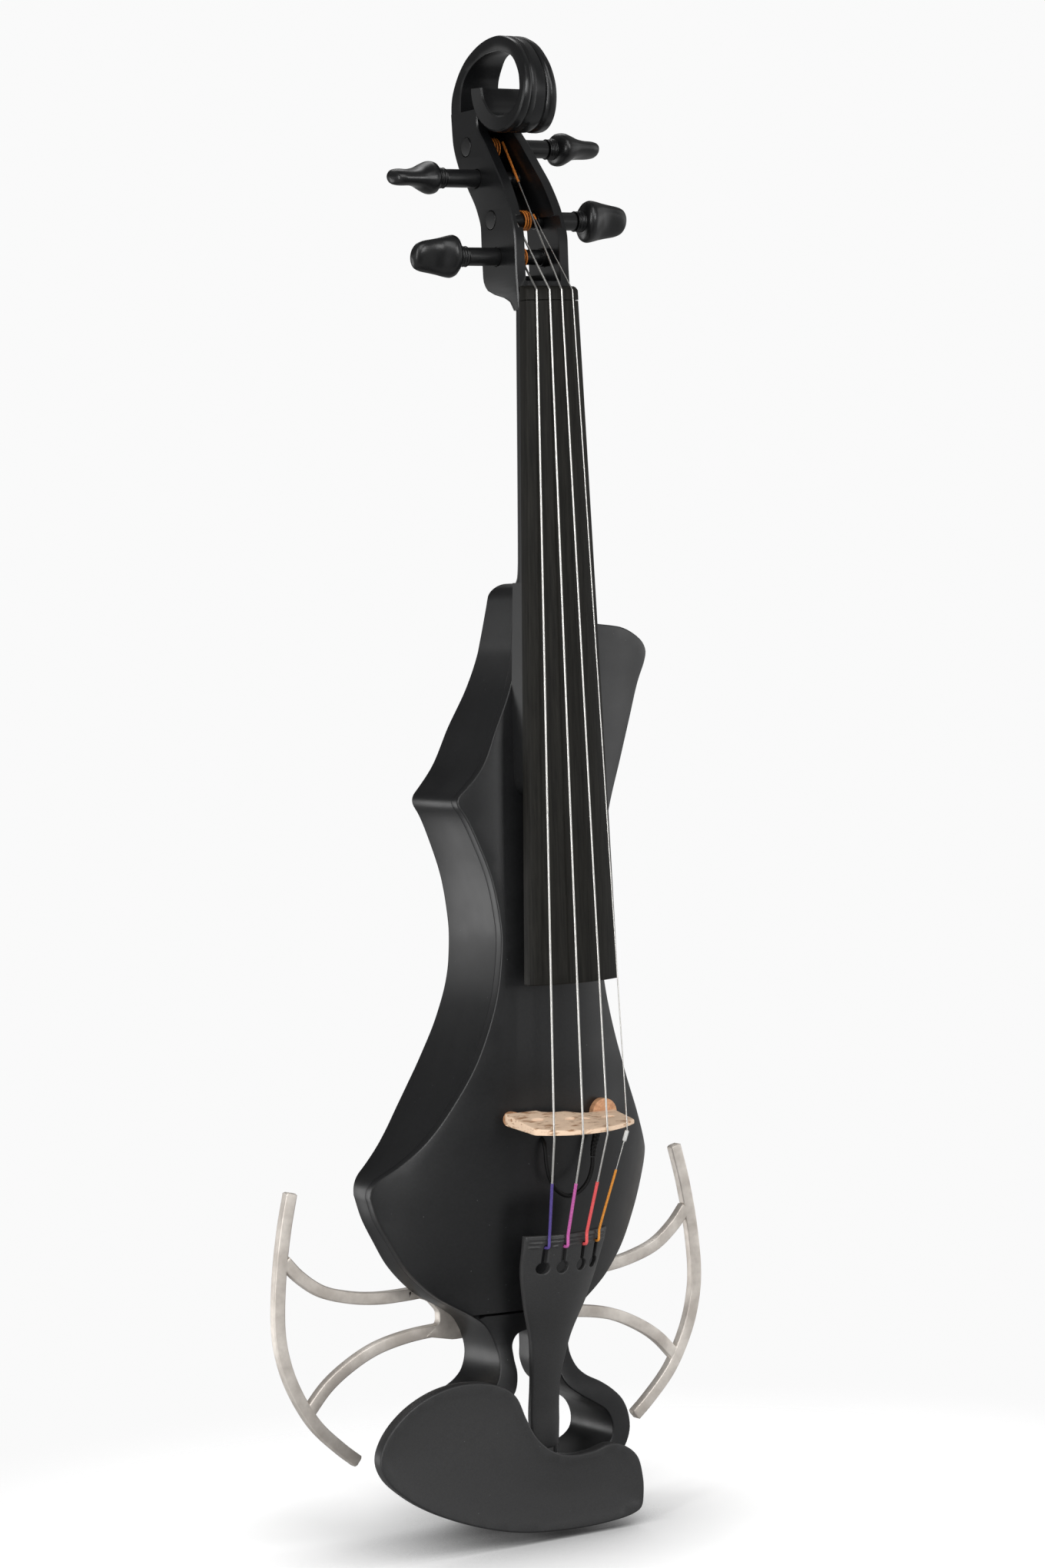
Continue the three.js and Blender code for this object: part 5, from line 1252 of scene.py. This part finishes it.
CHIN_WIDTH = 121
CHIN_HEIGHT = 64.8
CHIN_TOP = BODY_END - 51.4
CHIN_FRONT = 13
CHIN_THICKNESS = 6.4
CHIN_SHARES = [(-0.729, 0.385), (-0.702, 0.257), (-0.622, 0.117), (-0.506, 0.022), (-0.381, 0),
               (-0.273, 0.045), (-0.212, 0.125), (-0.176, 0.271), (-0.14, 0.394), (-0.079, 0.495),
               (-0.007, 0.538), (0.074, 0.535), (0.146, 0.508), (0.203, 0.538), (0.25, 0.615), (0.268, 0.746),
               (0.269, 0.838), (0.258, 0.935), (0.225, 0.968), (0.101, 0.995), (-0.058, 0.992),
               (-0.218, 0.96), (-0.372, 0.883), (-0.525, 0.765), (-0.636, 0.635), (-0.709, 0.502)]
DISH_DEPTH = 1.7
RIM_HEIGHT = 0.5
RIM_WIDTH = 1.5
POST_SPACING = 30
POST_WIDTH = 12
POST_HEIGHT = 5.5
BARREL_RADIUS = 2.4
BARREL_ROD_RADIUS = 1.3
CROSS_HOLE_RADIUS = 0.9
CROSS_HOLES = (34, 54)


def chin_rest():
    """A dished plate with a thin raised rim, on two posts."""
    points = [(x * CHIN_WIDTH, -CHIN_TOP - z * CHIN_HEIGHT) for x, z in CHIN_SHARES]
    outline = curve(points, 1.3, closed=True)
    back = CHIN_FRONT + CHIN_THICKNESS

    def front(x, z):
        reach = np.min(np.linalg.norm(np.column_stack([x, z])[:, None] - outline[None], axis=2), axis=1)
        dish = DISH_DEPTH * (1 - np.exp(-np.clip(reach - RIM_WIDTH - 0.1, 0, None) / 9))
        return CHIN_FRONT + dish + RIM_HEIGHT * (reach > RIM_WIDTH)

    rest = piece("chin_rest", slab(outline, [], front, back, (0.8, 1.6), 3.0), MOULDED, 40)
    top = body_z(1) + POST_HEIGHT + BARREL_RADIUS
    posts = [box(x - POST_WIDTH / 2, x + POST_WIDTH / 2, back - 3, body_front(0, body_z(1)) - CLEARANCE,
                 top - POST_HEIGHT, top) for x in (-POST_SPACING / 2, POST_SPACING / 2)]
    combine(rest, "UNION", *posts, smooth=40)


def chin_clamp():
    """Two barrels that are turned through cross holes, and the foot that they pull against the ring."""
    (x0, x1), (y0, y1), (z0, z1) = span("chin_clamp_foot")
    holes = []
    for node in ("chin_barrel_1", "chin_barrel_2"):
        x, _, z = middle(node)
        thin = BARREL_ROD_RADIUS
        holes.append(circle(x, z, thin + CLEARANCE))
        start, end = span(node)[1]
        near = CHIN_FRONT + CHIN_THICKNESS + CLEARANCE
        profile = rounded([(0, start), (thin, start), (thin, near), (BARREL_RADIUS, near),
                           (BARREL_RADIUS, BACK_Y), (thin, BACK_Y), (thin, end), (0, end)], 0.3)
        barrel = piece(node, turned("y", profile, (x, 0, z), 40), STEEL)
        combine(barrel, "DIFFERENCE",
                *(rod("x", CROSS_HOLE_RADIUS, -5, 5, (x, y, z), 20) for y in CROSS_HOLES), smooth=35)
    shape = slab(rectangle(x0, x1, z0, z1, 3), holes, y0, y1, (0.4, 0.8), 4.0)
    piece("chin_clamp_foot", shape, STEEL)


# Arms, as shares of their reach to the side and their height from the top

ARC_SHARES = [(0.9, 0), (0.935, 0.134), (0.965, 0.304), (0.977, 0.473), (0.965, 0.571), (0.925, 0.688),
              (0.836, 0.83), (0.722, 0.935), (0.655, 0.985)]
UPPER_SPOKE_SHARES = [(0.94, 0.235), (0.88, 0.295), (0.785, 0.358), (0.67, 0.393), (0.54, 0.412),
                      (0.4, 0.414), (0.22, 0.405)]
LOWER_SPOKE_SHARES = [(0.865, 0.79), (0.78, 0.708), (0.69, 0.651), (0.56, 0.596), (0.41, 0.567),
                      (0.25, 0.558), (0.14, 0.56)]
PAD_SHARES = [(0.02, 0.38), (0.3, 0.38), (0.4, 0.415), (0.3, 0.45), (0.262, 0.49), (0.262, 0.53),
              (0.33, 0.575), (0.2, 0.6), (0.104, 0.6), (0.104, 0.52), (0.02, 0.52)]


def arm_line(side, shares):
    return [(side * out * ARM_HALF, -ARM_TOP - down * ARM_HEIGHT) for out, down in shares]


def bar(side, shares, tip=0.0, sunk=0.0):
    """A flat bar of even width with rounded edges that follows a line of points."""
    line = curve(arm_line(side, shares), 1.5)
    run = unit(np.gradient(line, axis=0))
    across = leftward(run) * ARM_BAR / 2
    last, first = line[-1] + tip * run[-1], line[0] - tip * run[0]
    outline = np.vstack([line + across, last + 0.6 * across[-1], last - 0.6 * across[-1],
                         (line - across)[::-1], first - 0.6 * across[0], first + 0.6 * across[0]])
    return slab(outline, [], BACK_Y + sunk, BACK_Y + ARM_THICKNESS - sunk, (0.6, 0.6), 30)


def arm(node, side):
    """A curved bar on two spokes, which meet in a pad on the back of the body."""
    pad = resample(arm_line(side, PAD_SHARES), 1.5, closed=True)
    made = piece(node, bar(side, ARC_SHARES, tip=0.6), ALUMINIUM)
    combine(made, "UNION", bar(side, UPPER_SPOKE_SHARES, sunk=0.03),
            bar(side, LOWER_SPOKE_SHARES, sunk=0.05),
            slab(pad, [], BACK_Y + 0.01, BACK_Y + ARM_THICKNESS - 0.01, (0.5, 0.5), 6))


# Camera, light and floor, in metres

CAMERA_PLACE = (-0.8538, -1.3477, -0.1185)
CAMERA_AZIMUTH = -31.756
CAMERA_ELEVATION = 2.623
CAMERA_ROLL = -2.318
FOCAL_PIXELS = 5306.16
PICTURE_HEIGHT_PIXELS = 2040
SENSOR = 36
SURROUND_WHITE = 0.955
SURROUND_GREYS = [(0, 0.35), (0.4, 0.3), (0.45, 0.45), (0.485, 0.95), (0.52, 0.65), (0.55, 0.11),
                  (0.72, 0.14), (1, 0.3)]
SURROUND_FRONT = 0.2
SURROUND_SIDE = 1.15
FLOOR_DROP = 0.003
FLOOR_REACH = 0.42
FLOOR_FADE = (0.12, 0.34)
# How far the painted contact shadow on the floor reaches
FLOOR_PAINTED_SHADE_REACH = 0.13
FLOOR_GLOW = 0.62
FLOOR_ECHO = 0.35


def aim(data, place, way, roll=0.0):
    """A camera or a light at a place, turned to face a way."""
    obj = bpy.data.objects.new(data.name, data)
    obj.location = place
    obj.rotation_euler = (way.to_track_quat("-Z", "Y") @ Quaternion((0, 0, 1), roll)).to_euler()
    bpy.context.scene.collection.objects.link(obj)
    return obj


def camera():
    """The view from the front left, a little above the middle, with the object leaning a little."""
    azimuth, elevation, roll = (math.radians(a) for a in (CAMERA_AZIMUTH, CAMERA_ELEVATION, CAMERA_ROLL))
    data = bpy.data.cameras.new("camera")
    data.sensor_width = SENSOR
    data.lens = FOCAL_PIXELS / PICTURE_HEIGHT_PIXELS * SENSOR
    data.clip_end = 50
    way = Vector((-math.sin(azimuth) * math.cos(elevation), math.cos(azimuth) * math.cos(elevation),
                  -math.sin(elevation)))
    bpy.context.scene.camera = aim(data, CAMERA_PLACE, way, roll)


def area_light(name, place, target, size, power):
    data = bpy.data.lights.new(name, "AREA")
    data.shape = "RECTANGLE"
    data.size, data.size_y = size
    data.energy = power
    aim(data, place, Vector(target) - Vector(place)).visible_camera = False


def white_world():
    """A white surround to the eye, and a grey one for light, palest near the horizon and to the sides."""
    world = bpy.data.worlds.new("surround")
    bpy.context.scene.world = world
    world.use_nodes = True
    tree = world.node_tree
    tree.nodes.clear()
    camera_ray = add(tree, "ShaderNodeLightPath", "Is Camera Ray", {})
    clear_ray = add(tree, "ShaderNodeLightPath", "Is Transmission Ray", {})
    seen = add(tree, "ShaderNodeMath", "Value", {0: camera_ray, 1: clear_ray}, operation="MAXIMUM")
    white = (SURROUND_WHITE, SURROUND_WHITE, SURROUND_WHITE, 1)
    bright = add(tree, "ShaderNodeBackground", "Background", {"Color": white, "Strength": 1.0})
    way = add(tree, "ShaderNodeTexCoord", "Generated", {})
    height = add(tree, "ShaderNodeSeparateXYZ", "Z", {"Vector": way})
    across = add(tree, "ShaderNodeSeparateXYZ", "X", {"Vector": way})
    share = add(tree, "ShaderNodeMapRange", "Result", {"Value": height, "From Min": -1.0})
    greys = ramp(tree, share, [(place, (grey, grey, grey)) for place, grey in SURROUND_GREYS])
    aside = add(tree, "ShaderNodeMath", "Value", {0: across}, operation="ABSOLUTE")
    strength = add(tree, "ShaderNodeMapRange", "Result",
                   {"Value": aside, "From Max": 0.5, "To Min": SURROUND_FRONT, "To Max": SURROUND_SIDE},
                   interpolation_type="SMOOTHSTEP")
    soft = add(tree, "ShaderNodeBackground", "Background", {"Color": greys, "Strength": strength})
    both = add(tree, "ShaderNodeMixShader", "Shader", {0: seen, 1: soft, 2: bright})
    feed(tree, tree.nodes.new("ShaderNodeOutputWorld"), {"Surface": both})


def floor():
    """A white floor under the chin rest that fades into the white surround away from the shadow. Its shadow
    is partly real, cast under the lamps, and partly painted: ambient occlusion darkens its colour and glow
    near the object.
    """
    level = cad_box[0].z - FLOOR_DROP
    mesh = bpy.data.meshes.new("floor")
    mesh.from_pydata([(x, y, level) for x, y in circle(0, 0, FLOOR_REACH, 64)], [], [list(range(64))])
    obj = bpy.data.objects.new("floor", mesh)
    bpy.context.scene.collection.objects.link(obj)
    material = bpy.data.materials.new("white_floor")
    material.use_nodes = True
    mesh.materials.append(material)
    tree = material.node_tree
    tree.nodes.clear()
    place = add(tree, "ShaderNodeTexCoord", "Object", {})
    centred = add(tree, "ShaderNodeMapping", "Vector", {"Vector": place, "Location": (0.01, 0.0, -level)})
    reach = add(tree, "ShaderNodeVectorMath", "Value", {0: centred}, operation="LENGTH")
    fade = add(tree, "ShaderNodeMapRange", "Result",
               {"Value": reach, "From Min": FLOOR_FADE[0], "From Max": FLOOR_FADE[1]},
               interpolation_type="SMOOTHSTEP")
    # Painted shade: ambient occlusion darkens the floor's colour and glow near the object, a painted contact
    # shadow added to the real one.
    near = add(tree, "ShaderNodeAmbientOcclusion", "AO", {"Distance": FLOOR_PAINTED_SHADE_REACH}, samples=16)
    painted_shade = add(tree, "ShaderNodeMath", "Value", {0: near, 1: 1.5}, operation="POWER")
    camera_ray = add(tree, "ShaderNodeLightPath", "Is Camera Ray", {})
    shown = add(tree, "ShaderNodeMapRange", "Result", {"Value": camera_ray, "To Min": FLOOR_ECHO})
    painted_shade_tint = add(tree, "ShaderNodeMath", "Value", {0: painted_shade, 1: shown}, operation="MULTIPLY")
    lit = add(tree, "ShaderNodeBsdfDiffuse", "BSDF", {"Color": painted_shade_tint})
    glow = add(tree, "ShaderNodeEmission", "Emission", {"Color": painted_shade_tint, "Strength": FLOOR_GLOW})
    both = add(tree, "ShaderNodeAddShader", "Shader", {0: lit, 1: glow})
    gone = add(tree, "ShaderNodeBsdfTransparent", "BSDF", {"Color": (1, 1, 1, 1)})
    mixed = add(tree, "ShaderNodeMixShader", "Shader", {0: fade, 1: both, 2: gone})
    feed(tree, tree.nodes.new("ShaderNodeOutputMaterial"), {"Surface": mixed})


camera()
white_world()
floor()
area_light("key", (-0.6, -1.8, 1.2), (0, 0, -0.2), (1.2, 1.6), 19)
area_light("edge", (-1.9, -1.05, -0.1), (0, 0, -0.2), (0.22, 2.2), 22)
area_light("flank", (-1.2, 1.55, -0.75), (0, 0, -0.33), (1.1, 0.8), 6)
area_light("side", (1.6, -0.6, 0.1), (0, 0, -0.25), (1.0, 1.8), 5)
area_light("strip", (0.3, -2.0, 0.25), (0, 0, -0.05), (0.3, 0.9), 10)
area_light("behind", (0.3, 1.2, 1.5), (0, 0, -0.3), (1.2, 0.7), 6)
bpy.context.scene.view_settings.view_transform = "Standard"

body()
back_cover()
battery_door()
for number in range(1, 5):
    screw(f"back_cover_screw_{number}", COVER_SCREW, 1.7, 10, 0.05)
for arm_name in ("left_frame", "right_frame"):
    screw(f"{arm_name}_screw_1", ARM_SCREW, 1.8, 16)
    screw(f"{arm_name}_screw_2", ARM_SCREW, 1.8, 16)
knob("volume_knob")
knob("tone_knob")
jack()
kept_nodes()
fingerboard()
nut()
neck()
for peg_name, peg_values in PEGS.items():
    peg(peg_name, peg_values)
    string(peg_name)
string_tube()
bridge()
for disc_side, disc_values in DISCS.items():
    pickup_disc(disc_side, **disc_values)
cable()
tailpiece()
tail_cord()
end_button()
chin_rest()
chin_clamp()
arm("left_frame", -1)
arm("right_frame", 1)
